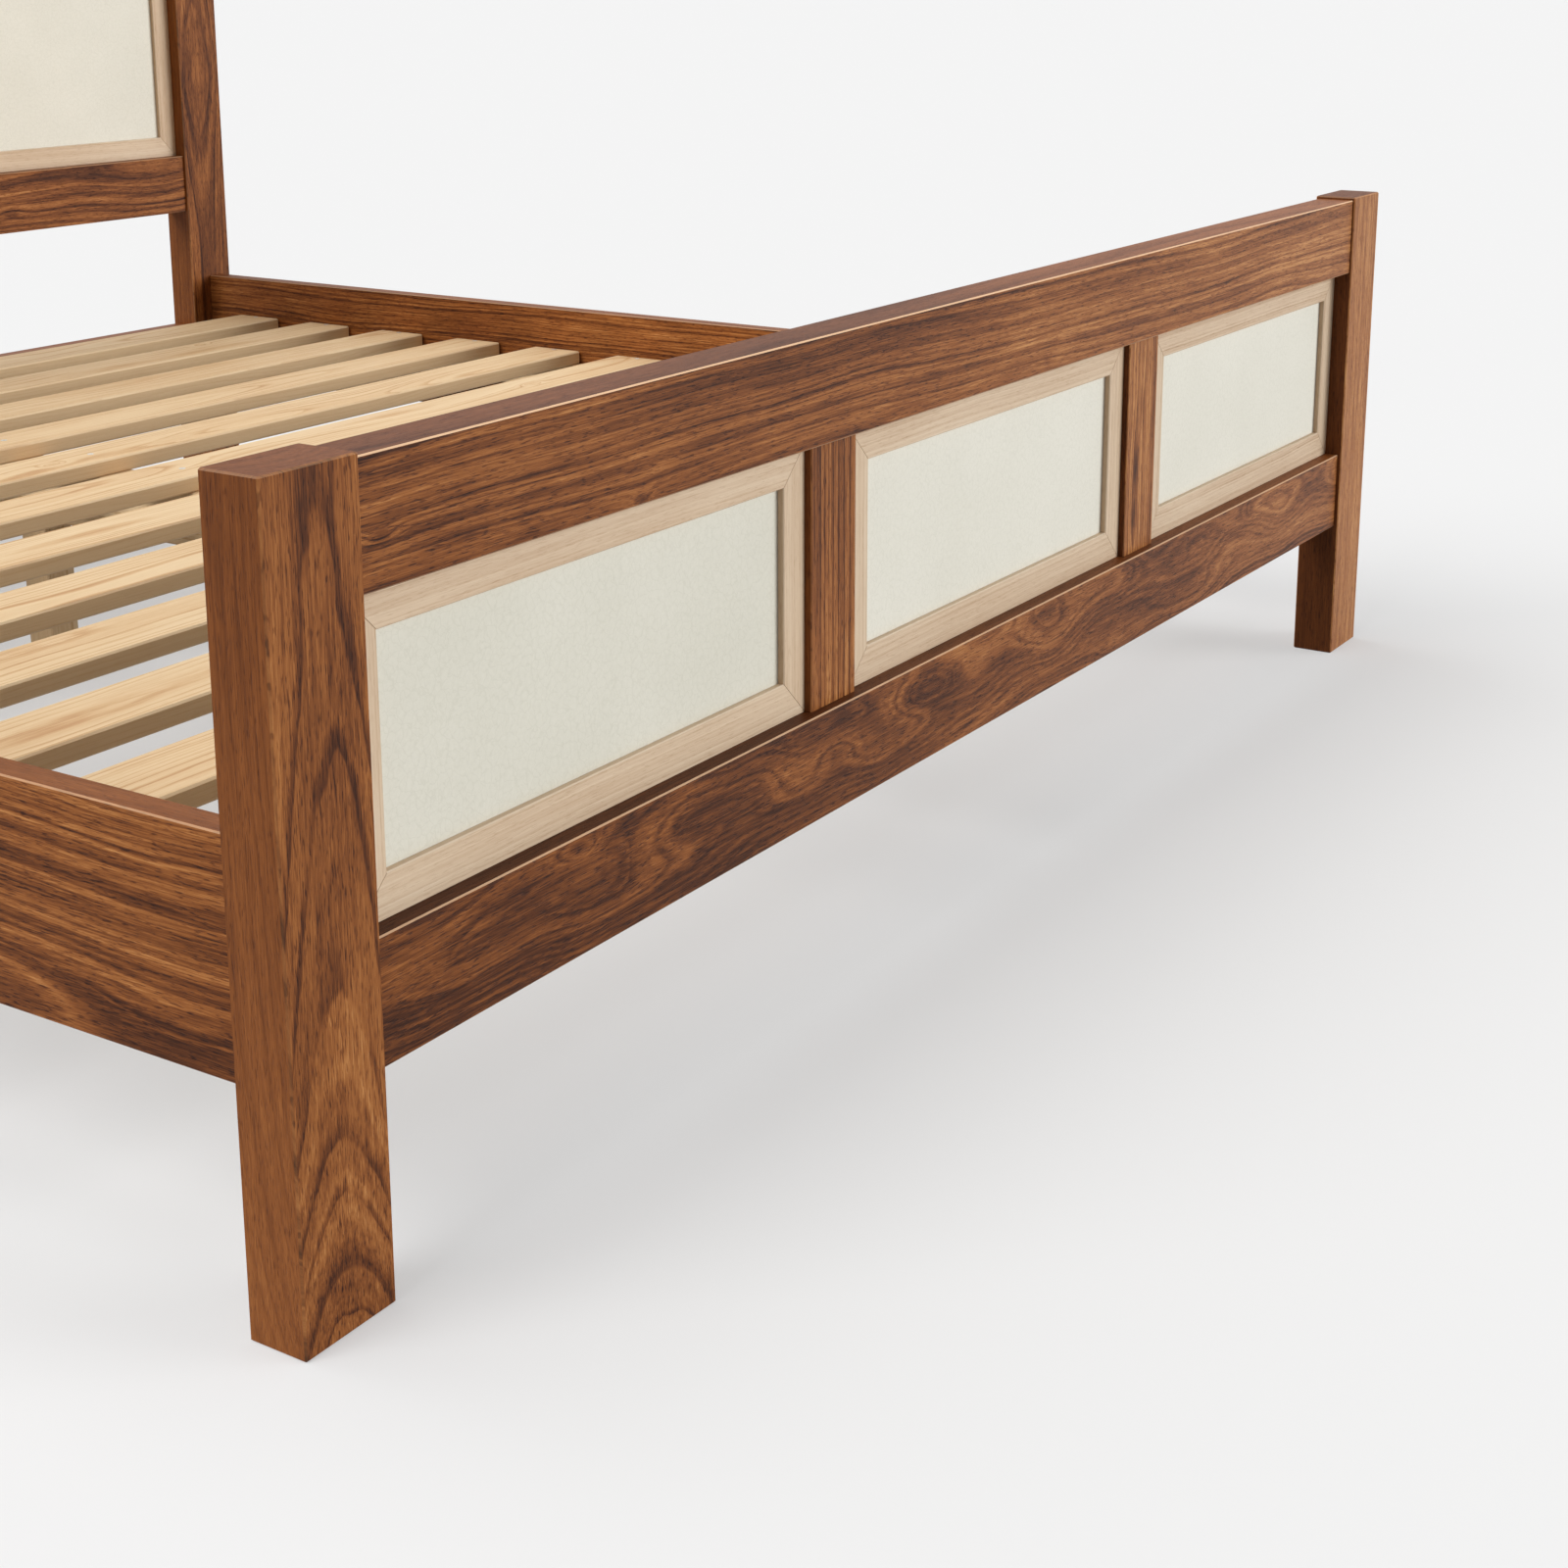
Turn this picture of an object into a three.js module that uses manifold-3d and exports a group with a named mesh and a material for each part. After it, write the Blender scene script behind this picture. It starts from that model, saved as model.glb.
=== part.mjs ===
// Platform bed for a king mattress: two framed boards joined by side rails, with a slatted deck
// on ledgers and a propped centre beam. Millimetres, +Z up, +X to the right seen from the foot,
// +Y towards the head. The origin is on the floor under the middle of the bed.
import * as THREE from "three";
import { mergeVertices } from "three/addons/utils/BufferGeometryUtils.js";
import Module from "manifold-3d";

const wasm = await Module();
wasm.setup();

// Mattress space
const mattressWidth = 1930;
const mattressLength = 2032;
const mattressSideGap = 7;
const mattressEndGap = 6;

// Gaps between pieces: glued or bolted faces, tenons in their mortises, and cutter overrun
const seatGap = 0.3;
const tenonGap = 0.3;
const overrun = 2;

// Corner posts
const postWidth = 90;
const postDepth = 52;
const footPostHeight = 605;
const headPostHeight = 1120;
const postArris = 1.4;

// Cross rails of the two boards
const topRailHeight = 93;
const topRailSetback = 3;
const topRailDrop = 3.5;
const lowRailHeight = 96;
const lowRailSetback = 5;
const lowRailClearance = 174;
const middleRailClearance = 470;
const railArris = 1.2;

// Tenons that join the cross rails to the posts
const tenonShoulder = 14;
const tenonLength = 30;
const gluePocket = 2;

// Mullions between the panels and their stub tenons
const bayCount = 3;
const mullionWidth = 73.5;
const mullionSetback = 15;
const mullionThickness = 24;
const mullionArris = 1;
const stubThickness = 10;
const stubShoulder = 12;
const stubLength = 16;

// Mitred picture frames and the panels held in their rabbets
const frameStripWidth = 33;
const frameSetback = 22;
const frameThickness = 16;
const frameArris = 0.9;
const rabbetWidth = 9;
const panelRecess = 6;
const panelThickness = 6;
const mitreLineWidth = 0.5;
const mitreLineDepth = 0.6;

// Side rails
const sideRailThickness = 26;
const sideRailHeight = 180;
const sideRailInset = 22;

// Ledgers and slats
const ledgerThickness = 24;
const ledgerHeight = 40;
const ledgerEndGap = 6;
const slatCount = 12;
const slatWidth = 90;
const slatThickness = 20;
const slatEndGap = 3;
const softwoodArris = 2;

// Corner brackets and their bolts
const bracketSteel = 3;
const bracketPostLeg = 38;
const bracketRailLeg = 62;
const bracketHeight = 84;
const bracketDrop = 4;
const bracketBend = 3;
const bracketCorner = 6;
const boltDiameter = 8;
const boltLength = 18;
const boltHeadDiameter = 15;
const boltHeadHeight = 4.6;
const boltRimHeight = 1.6;
const boltPointChamfer = 1;
const socketWidth = 5;
const socketDepth = 3;
const boltSpacing = 46;
const boltHoleGap = 0.4;
const boltHoleSpare = 1;
const screwHoleDiameter = 6;
const screwHoleSpacing = 40;

// Centre beam, its hangers, and the legs with levelling feet
const beamWidth = 58;
const beamHeight = 70;
const beamEndGap = 1;
const hangerSteel = 2.5;
const hangerDepth = 44;
const hangerHeight = 48;
const hangerEarWidth = 28;
const hangerBend = 2;
const hangerHoleSpacing = 26;
const legCount = 2;
const legWidth = 45;
const legTenonWidth = 25;
const legTenonLength = 20;
const legArris = 2;
const footPadDiameter = 36;
const footPadHeight = 5;
const footConeDiameter = 22;
const footConeHeight = 4;
const footPadChamfer = 1;
const footFreeGap = 1;
const footStudDiameter = 8;
const footStudLength = 34;
const footBoreGap = 0.4;
const footBoreSpare = 4;

// Facets in a full turn of the round pieces and holes
const roundSegments = 20;
const holeSegments = 16;
const bendSegments = 4;
const domeSegments = 3;

// Sizes that follow from the ones above
const innerWidth = mattressWidth + 2 * mattressSideGap;
const bedWidth = innerWidth + 2 * (sideRailThickness + sideRailInset);
const deckLength = mattressLength + 2 * mattressEndGap;
const bedLength = deckLength + 2 * postDepth;
const railSpan = bedWidth - 2 * postWidth;
const bayWidth = (railSpan - (bayCount - 1) * mullionWidth) / bayCount;
const slatSeatHeight = lowRailClearance + lowRailHeight;
const slatGap = (deckLength - slatCount * slatWidth) / (slatCount + 1);
const topRailThickness = postDepth - 2 * topRailSetback;
const lowRailThickness = postDepth - 2 * lowRailSetback;
const tenonThickness = postDepth - 2 * (boltLength + boltHoleSpare);
const legTop = slatSeatHeight - beamHeight - seatGap;
const footTop = footPadHeight + footConeHeight;
const boltHoleDiameter = boltDiameter + 2 * boltHoleGap;

// Finishes
const walnut = new THREE.MeshStandardMaterial({ color: 0x7d4b2d, roughness: 0.55, metalness: 0 });
const paleOak = new THREE.MeshStandardMaterial({ color: 0xcdb392, roughness: 0.6, metalness: 0 });
const creamPanel = new THREE.MeshStandardMaterial({ color: 0xe3dfce, roughness: 0.9, metalness: 0 });
const pine = new THREE.MeshStandardMaterial({ color: 0xd8b98c, roughness: 0.7, metalness: 0 });
const coatedSteel = new THREE.MeshStandardMaterial({ color: 0x2c2c2e, roughness: 0.5, metalness: 0.6 });
const zincSteel = new THREE.MeshStandardMaterial({ color: 0xb4b6b8, roughness: 0.35, metalness: 0.9 });
const blackPlastic = new THREE.MeshStandardMaterial({ color: 0x1d1d1e, roughness: 0.6, metalness: 0 });

// Which way an extruded section is laid: its length along X, Y or Z.
const lengthAlongX = new THREE.Matrix4().makeBasis(
  new THREE.Vector3(0, 1, 0), new THREE.Vector3(0, 0, 1), new THREE.Vector3(1, 0, 0));
const lengthAlongY = new THREE.Matrix4().makeBasis(
  new THREE.Vector3(0, 0, 1), new THREE.Vector3(1, 0, 0), new THREE.Vector3(0, 1, 0));
const lengthAlongZ = new THREE.Matrix4();

// A closed geometry as a solid that can be cut and joined.
function solidOf(geometry) {
  const bare = geometry.clone();
  bare.deleteAttribute("normal");
  bare.deleteAttribute("uv");
  const welded = mergeVertices(bare);
  const corners = welded.index.array;
  const kept = [];
  for (let i = 0; i < corners.length; i += 3) {
    const [a, b, c] = [corners[i], corners[i + 1], corners[i + 2]];
    if (a !== b && b !== c && c !== a) {
      kept.push(a, b, c);
    }
  }
  return new wasm.Manifold(new wasm.Mesh({
    numProp: 3,
    vertProperties: new Float32Array(welded.attributes.position.array),
    triVerts: new Uint32Array(kept),
  }));
}

// A cut or joined solid as a geometry again.
function geometryOf(solid) {
  const mesh = solid.getMesh();
  const geometry = new THREE.BufferGeometry();
  geometry.setAttribute("position", new THREE.BufferAttribute(new Float32Array(mesh.vertProperties), 3));
  geometry.setIndex(new THREE.BufferAttribute(new Uint32Array(mesh.triVerts), 1));
  geometry.computeVertexNormals();
  return geometry;
}

function cutAway(geometry, cutters) {
  let solid = solidOf(geometry);
  for (const cutter of cutters) {
    solid = solid.subtract(solidOf(cutter));
  }
  return geometryOf(solid);
}

function joinUp(geometries) {
  let solid = solidOf(geometries[0]);
  for (const geometry of geometries.slice(1)) {
    solid = solid.add(solidOf(geometry));
  }
  return geometryOf(solid);
}

// A box from its lowest corner.
function boxAt(x, y, z, sizeX, sizeY, sizeZ) {
  return new THREE.BoxGeometry(sizeX, sizeY, sizeZ).translate(x + sizeX / 2, y + sizeY / 2, z + sizeZ / 2);
}

// A rectangle from its lowest corner, with its corners cut back by the arris.
function easedRectangle(width, height, arris) {
  const shape = new THREE.Shape();
  shape.moveTo(arris, 0);
  shape.lineTo(width - arris, 0);
  shape.lineTo(width, arris);
  shape.lineTo(width, height - arris);
  shape.lineTo(width - arris, height);
  shape.lineTo(arris, height);
  shape.lineTo(0, height - arris);
  shape.lineTo(0, arris);
  shape.closePath();
  return shape;
}

// A bar of an eased section, cut square at both ends, with its length laid by the matrix.
function bar(sectionWidth, sectionHeight, length, arris, laid) {
  const section = easedRectangle(sectionWidth, sectionHeight, arris);
  return new THREE.ExtrudeGeometry(section, { depth: length, bevelEnabled: false }).applyMatrix4(laid);
}

// A bar whose ends are eased as well.
function easedBar(sectionWidth, sectionHeight, length, arris, laid) {
  const section = easedRectangle(sectionWidth, sectionHeight, arris);
  const options = {
    depth: length - 2 * arris,
    bevelEnabled: true,
    bevelThickness: arris,
    bevelSize: arris,
    bevelOffset: -arris,
    bevelSegments: 1,
  };
  return new THREE.ExtrudeGeometry(section, options).translate(0, 0, arris).applyMatrix4(laid);
}

// A round rod along +Z from z = 0, for holes.
function rod(diameter, length) {
  const geometry = new THREE.CylinderGeometry(diameter / 2, diameter / 2, length, holeSegments);
  return geometry.rotateX(Math.PI / 2).translate(0, 0, length / 2);
}

function piece(name, geometry, material, x, y, z) {
  const mesh = new THREE.Mesh(geometry, material);
  mesh.name = name;
  mesh.position.set(x, y, z);
  return mesh;
}

// Where a cross rail lies in its board, and the tenon at each of its ends.
function railPlan(label, bottom, height, setback, thickness) {
  const tenonHeight = height - 2 * tenonShoulder;
  const tenonFront = setback + (thickness - tenonThickness) / 2;
  return { label, bottom, height, setback, thickness, tenonHeight, tenonFront };
}

function topRailPlan(postHeight) {
  const bottom = postHeight - topRailDrop - topRailHeight;
  return railPlan("top_rail", bottom, topRailHeight, topRailSetback, topRailThickness);
}

function lowRailPlan(label, bottom) {
  return railPlan(label, bottom, lowRailHeight, lowRailSetback, lowRailThickness);
}

// A post from its outer lower front corner, with a mortise for each rail and two bolt holes.
// side is 1 for the left post, whose rails enter at +X, and -1 for the right post.
// boltFaceY is the face that the side rail meets, and inward the way that face looks.
function postGeometry(height, rails, side, boltFaceY, inward) {
  const cutters = rails.map((rail) => mortiseCutter(rail, side));
  for (const boltHeight of boltHeights()) {
    cutters.push(boltHoleCutter(side, boltFaceY, inward, boltHeight));
  }
  return cutAway(easedBar(postWidth, postDepth, height, postArris, lengthAlongZ), cutters);
}

function mortiseCutter(rail, side) {
  const depth = tenonLength + gluePocket;
  const start = side > 0 ? postWidth - depth : -overrun;
  return boxAt(start, rail.tenonFront - tenonGap, rail.bottom + tenonShoulder - tenonGap,
    depth + overrun, tenonThickness + 2 * tenonGap, rail.tenonHeight + 2 * tenonGap);
}

function boltHoleCutter(side, boltFaceY, inward, boltHeight) {
  const depth = boltLength + boltHoleSpare - bracketSteel - 2 * seatGap;
  const hole = rod(boltHoleDiameter, depth + overrun).rotateX(inward * Math.PI / 2);
  const x = side > 0 ? boltOffset() : postWidth - boltOffset();
  return hole.translate(x, boltFaceY + inward * overrun, boltHeight);
}

// How far the bolts stand in from a post's outer face.
function boltOffset() {
  const legMiddle = (bracketSteel + bracketBend + bracketPostLeg) / 2;
  return sideRailInset + sideRailThickness + seatGap + legMiddle;
}

function bracketMiddleHeight() {
  return slatSeatHeight - bracketDrop - bracketHeight / 2;
}

function boltHeights() {
  return [bracketMiddleHeight() - boltSpacing / 2, bracketMiddleHeight() + boltSpacing / 2];
}

// Left edges of the mullions, counted from a rail's left shoulder at the post's inner face.
function mullionStarts() {
  const starts = [];
  for (let i = 1; i < bayCount; i += 1) {
    starts.push(i * bayWidth + (i - 1) * mullionWidth);
  }
  return starts;
}

// A cross rail from its left shoulder, with a tenon at each end. mortised says which of its
// edges take the mullions: 1 the upper, -1 the lower, 0 neither.
function crossRailGeometry(rail, mortised) {
  const length = railSpan - 2 * seatGap;
  const body = bar(rail.thickness, rail.height, length, railArris, lengthAlongX);
  const tongue = boxAt(-tenonLength, rail.tenonFront - rail.setback, tenonShoulder,
    length + 2 * tenonLength, tenonThickness, rail.tenonHeight);
  const joined = joinUp([body, tongue]);
  if (mortised === 0) {
    return joined;
  }
  return cutAway(joined, mullionStarts().map((start) => stubMortiseCutter(rail, mortised, start)));
}

function stubMortiseCutter(rail, mortised, start) {
  const depth = stubLength + gluePocket;
  const z = mortised > 0 ? rail.height - depth : -overrun;
  return boxAt(start - seatGap + stubShoulder - tenonGap, stubFront() - rail.setback - tenonGap, z,
    mullionWidth - 2 * stubShoulder + 2 * tenonGap, stubThickness + 2 * tenonGap, depth + overrun);
}

function stubFront() {
  return mullionSetback + (mullionThickness - stubThickness) / 2;
}

// A mullion from its lower left front corner, with a stub tenon at each end.
function mullionGeometry(height) {
  const body = bar(mullionWidth, mullionThickness, height, mullionArris, lengthAlongZ);
  const tongue = boxAt(stubShoulder, stubFront() - mullionSetback, -stubLength,
    mullionWidth - 2 * stubShoulder, stubThickness, height + 2 * stubLength);
  return joinUp([body, tongue]);
}

// The section of a frame strip: how far in from the outer edge, and how deep from the front.
function frameSection() {
  return [
    [0, 0],
    [frameStripWidth - frameArris, 0],
    [frameStripWidth, frameArris],
    [frameStripWidth, panelRecess],
    [frameStripWidth - rabbetWidth, panelRecess],
    [frameStripWidth - rabbetWidth, frameThickness],
    [0, frameThickness],
  ];
}

// Four strips of the section mitred into one frame: each point of the section runs round as a
// rectangle, and each pair of neighbouring rectangles is joined by four flat sides.
function mitredFrameGeometry(width, height) {
  const section = frameSection();
  const positions = [];
  for (const [inset, depth] of section) {
    positions.push(inset, depth, inset);
    positions.push(width - inset, depth, inset);
    positions.push(width - inset, depth, height - inset);
    positions.push(inset, depth, height - inset);
  }
  const triangles = [];
  for (let ring = 0; ring < section.length; ring += 1) {
    const next = (ring + 1) % section.length;
    for (let corner = 0; corner < 4; corner += 1) {
      const turned = (corner + 1) % 4;
      const [a, b] = [ring * 4 + corner, ring * 4 + turned];
      const [c, d] = [next * 4 + turned, next * 4 + corner];
      triangles.push(a, b, c, a, c, d);
    }
  }
  const geometry = new THREE.BufferGeometry();
  geometry.setAttribute("position", new THREE.Float32BufferAttribute(positions, 3));
  geometry.setIndex(triangles);
  geometry.computeVertexNormals();
  return cutAway(geometry, mitreLineCutters(width, height));
}

// The fine line that shows at each mitre, cut across the corner at 45 degrees.
function mitreLineCutters(width, height) {
  const reach = frameStripWidth * Math.SQRT2;
  const corners = [[0, 0, 1], [width, 0, 3], [width, height, 5], [0, height, 7]];
  return corners.map(([x, z, eighths]) => {
    const line = boxAt(0, -overrun, -mitreLineWidth / 2, reach, overrun + mitreLineDepth, mitreLineWidth);
    return line.rotateY(-eighths * Math.PI / 4).translate(x, 0, z);
  });
}

// The frames and panels that fill the bays between two rails.
function bayPieces(prefix, bottom, top) {
  const width = bayWidth - 2 * seatGap;
  const height = top - bottom - 2 * seatGap;
  const panelInset = frameStripWidth - rabbetWidth + tenonGap;
  const labels = ["left", "centre", "right"];
  const pieces = [];
  for (let bay = 0; bay < bayCount; bay += 1) {
    const x = postWidth + bay * (bayWidth + mullionWidth) + seatGap;
    const z = bottom + seatGap;
    const frame = mitredFrameGeometry(width, height);
    const panel = boxAt(0, 0, 0, width - 2 * panelInset, panelThickness, height - 2 * panelInset);
    pieces.push(piece(`${prefix}_frame_${labels[bay]}`, frame, paleOak, x, frameSetback, z));
    pieces.push(piece(`${prefix}_panel_${labels[bay]}`, panel, creamPanel,
      x + panelInset, frameSetback + panelRecess + seatGap, z + panelInset));
  }
  return pieces;
}

function mullionPieces(prefix, bottom, top) {
  const labels = ["left", "right"];
  const geometry = mullionGeometry(top - bottom - 2 * seatGap);
  return mullionStarts().map((start, i) => piece(
    `${prefix}_mullion_${labels[i]}`, geometry, walnut,
    postWidth + start, mullionSetback, bottom + seatGap));
}

// A whole board in a group whose origin is the left post's outer lower front corner.
// panelRail carries the panels, lowerRails lie below it, and inward is the way the side rails run.
function boardGroup(prefix, postHeight, panelRail, lowerRails, inward) {
  const topRail = topRailPlan(postHeight);
  const rails = [topRail, panelRail, ...lowerRails];
  const boltFaceY = inward > 0 ? postDepth : 0;
  const group = new THREE.Group();
  const leftPost = postGeometry(postHeight, rails, 1, boltFaceY, inward);
  const rightPost = postGeometry(postHeight, rails, -1, boltFaceY, inward);
  group.add(piece(`${prefix}_post_left`, leftPost, walnut, 0, 0, 0));
  group.add(piece(`${prefix}_post_right`, rightPost, walnut, bedWidth - postWidth, 0, 0));
  for (const rail of rails) {
    const mortised = rail === topRail ? -1 : Number(rail === panelRail);
    const geometry = crossRailGeometry(rail, mortised);
    group.add(piece(`${prefix}_${rail.label}`, geometry, walnut,
      postWidth + seatGap, rail.setback, rail.bottom));
  }
  const bayBottom = panelRail.bottom + panelRail.height;
  group.add(...mullionPieces(prefix, bayBottom, topRail.bottom));
  group.add(...bayPieces(prefix, bayBottom, topRail.bottom));
  return group;
}

function footboard() {
  const group = boardGroup("foot", footPostHeight, lowRailPlan("bottom_rail", lowRailClearance), [], 1);
  group.position.set(-bedWidth / 2, -bedLength / 2, 0);
  return group;
}

function headboard() {
  const middleRail = lowRailPlan("middle_rail", middleRailClearance);
  const bottomRail = lowRailPlan("bottom_rail", lowRailClearance);
  const group = boardGroup("head", headPostHeight, middleRail, [bottomRail], -1);
  group.position.set(-bedWidth / 2, bedLength / 2 - postDepth, 0);
  return group;
}

// The two side rails, butted against the posts and set in from their outer faces.
function sideRails() {
  const group = new THREE.Group();
  const length = deckLength - 2 * seatGap;
  const geometry = bar(sideRailHeight, sideRailThickness, length, railArris, lengthAlongY);
  const outer = bedWidth / 2 - sideRailInset;
  group.add(piece("side_rail_left", geometry, walnut, -outer, -length / 2, lowRailClearance));
  group.add(piece("side_rail_right", geometry, walnut,
    outer - sideRailThickness, -length / 2, lowRailClearance));
  return group;
}

// The strips on the inner faces of the side rails that the slats' ends rest on.
function ledgers() {
  const group = new THREE.Group();
  const length = deckLength - 2 * (bracketRailLeg + ledgerEndGap);
  const geometry = bar(ledgerHeight, ledgerThickness, length, softwoodArris, lengthAlongY);
  const bottom = slatSeatHeight - ledgerHeight;
  const outer = innerWidth / 2 - seatGap;
  group.add(piece("slat_ledger_left", geometry, pine, -outer, -length / 2, bottom));
  group.add(piece("slat_ledger_right", geometry, pine, outer - ledgerThickness, -length / 2, bottom));
  return group;
}

// The slats, evenly spaced between the posts' inner faces.
function slats() {
  const group = new THREE.Group();
  const length = innerWidth - 2 * slatEndGap;
  const geometry = easedBar(slatWidth, slatThickness, length, softwoodArris, lengthAlongX);
  for (let i = 0; i < slatCount; i += 1) {
    const y = -deckLength / 2 + slatGap + i * (slatWidth + slatGap);
    const name = `slat_${String(i + 1).padStart(2, "0")}`;
    group.add(piece(name, geometry, pine, -length / 2, y, slatSeatHeight + seatGap));
  }
  return group;
}

// An angle of folded steel. The fold's outer corner is at the origin, the post leg runs along +X,
// the rail leg along +Y, and the height is centred on z = 0.
function bracketGeometry() {
  const section = new THREE.Shape();
  const outerBend = bracketBend + bracketSteel;
  section.moveTo(outerBend, 0);
  section.lineTo(bracketPostLeg, 0);
  section.lineTo(bracketPostLeg, bracketSteel);
  section.lineTo(outerBend, bracketSteel);
  section.absarc(outerBend, outerBend, bracketBend, -Math.PI / 2, -Math.PI, true);
  section.lineTo(bracketSteel, bracketRailLeg);
  section.lineTo(0, bracketRailLeg);
  section.lineTo(0, outerBend);
  section.absarc(outerBend, outerBend, outerBend, Math.PI, 1.5 * Math.PI, false);
  const options = { depth: bracketHeight, bevelEnabled: false, curveSegments: bendSegments };
  const plate = new THREE.ExtrudeGeometry(section, options).translate(0, 0, -bracketHeight / 2);
  return cutAway(plate, [...bracketHoleCutters(), ...bracketCornerCutters()]);
}

function bracketHoleCutters() {
  const legMiddle = (bracketSteel + bracketBend + bracketPostLeg) / 2;
  const railHoleY = bracketRailLeg - screwHoleSpacing / 2;
  const cutters = [];
  for (const up of [-1, 1]) {
    const postHole = rod(boltHoleDiameter, bracketSteel + 2 * overrun).rotateX(-Math.PI / 2);
    cutters.push(postHole.translate(legMiddle, -overrun, up * boltSpacing / 2));
    const railHole = rod(screwHoleDiameter, bracketSteel + 2 * overrun).rotateY(Math.PI / 2);
    cutters.push(railHole.translate(-overrun, railHoleY, up * screwHoleSpacing / 2));
  }
  return cutters;
}

// Triangular prisms that trim the four free corners of the two legs.
function bracketCornerCutters() {
  const cutters = [];
  const side = bracketCorner * Math.SQRT2;
  const depth = bracketSteel + 2 * overrun;
  for (const up of [-1, 1]) {
    const postTrim = new THREE.BoxGeometry(side, depth, side).rotateY(Math.PI / 4);
    cutters.push(postTrim.translate(bracketPostLeg, bracketSteel / 2, up * bracketHeight / 2));
    const railTrim = new THREE.BoxGeometry(depth, side, side).rotateX(Math.PI / 4);
    cutters.push(railTrim.translate(bracketSteel / 2, bracketRailLeg, up * bracketHeight / 2));
  }
  return cutters;
}

// A socket-head bolt along Z with the underside of its head at z = 0 and its point below.
function boltGeometry() {
  const profile = [
    new THREE.Vector2(0, -boltLength),
    new THREE.Vector2(boltDiameter / 2 - boltPointChamfer, -boltLength),
    new THREE.Vector2(boltDiameter / 2, -boltLength + boltPointChamfer),
    new THREE.Vector2(boltDiameter / 2, 0),
    new THREE.Vector2(boltHeadDiameter / 2, 0),
    new THREE.Vector2(boltHeadDiameter / 2, boltRimHeight),
    ...boltDome(),
  ];
  const turned = new THREE.LatheGeometry(profile, roundSegments).rotateX(Math.PI / 2);
  const socketRadius = socketWidth / Math.sqrt(3);
  const socket = new THREE.CylinderGeometry(socketRadius, socketRadius, socketDepth + overrun, 6)
    .rotateX(Math.PI / 2).translate(0, 0, boltHeadHeight - socketDepth + (socketDepth + overrun) / 2);
  return cutAway(turned, [socket]);
}

// The quarter ellipse from the head's rim to its crown.
function boltDome() {
  const points = [];
  for (let i = 1; i <= domeSegments; i += 1) {
    const turn = (i / domeSegments) * (Math.PI / 2);
    const across = i === domeSegments ? 0 : (boltHeadDiameter / 2) * Math.cos(turn);
    const rise = (boltHeadHeight - boltRimHeight) * Math.sin(turn);
    points.push(new THREE.Vector2(across, boltRimHeight + rise));
  }
  return points;
}

// A bracket and its two bolts at each corner. Each corner is the left foot corner turned half
// round X, Y or Z, which the bracket allows because it is the same above and below its middle.
function cornerFixings() {
  const group = new THREE.Group();
  const bracket = bracketGeometry();
  const bolt = boltGeometry();
  const corners = [
    { label: "foot_left", towardsX: 1, towardsY: 1 },
    { label: "foot_right", towardsX: -1, towardsY: 1 },
    { label: "head_left", towardsX: 1, towardsY: -1 },
    { label: "head_right", towardsX: -1, towardsY: -1 },
  ];
  for (const { label, towardsX, towardsY } of corners) {
    const x = -towardsX * (innerWidth / 2 - seatGap);
    const y = -towardsY * (deckLength / 2 - seatGap);
    const angle = piece(`rail_bracket_${label}`, bracket, coatedSteel, x, y, bracketMiddleHeight());
    angle.rotation.set(towardsX > 0 && towardsY < 0 ? Math.PI : 0,
      towardsX < 0 && towardsY > 0 ? Math.PI : 0,
      towardsX < 0 && towardsY < 0 ? Math.PI : 0);
    group.add(angle);
    group.add(...cornerBolts(label, bolt, towardsX, towardsY));
  }
  return group;
}

function cornerBolts(label, geometry, towardsX, towardsY) {
  const x = -towardsX * (bedWidth / 2 - boltOffset());
  const y = -towardsY * (deckLength / 2 - seatGap - bracketSteel - seatGap);
  const levels = ["lower", "upper"];
  return boltHeights().map((height, i) => {
    const bolt = piece(`bracket_bolt_${label}_${levels[i]}`, geometry, zincSteel, x, y, height);
    bolt.rotation.set(-towardsY * Math.PI / 2, 0, 0);
    return bolt;
  });
}

// The beam under the middle of the slats, mortised for its legs, from its lower left foot end.
function beamGeometry(length) {
  const body = bar(beamHeight, beamWidth, length, softwoodArris, lengthAlongY);
  const width = legTenonWidth + 2 * tenonGap;
  const cutters = legPlaces().map((y) => boxAt(
    (beamWidth - width) / 2, y + length / 2 - width / 2, -overrun, width, width,
    legTenonLength + gluePocket + overrun));
  return cutAway(body, cutters);
}

// Where the legs stand along the bed, counted from its middle.
function legPlaces() {
  const places = [];
  for (let i = 1; i <= legCount; i += 1) {
    places.push(-deckLength / 2 + i * deckLength / (legCount + 1));
  }
  return places;
}

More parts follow.
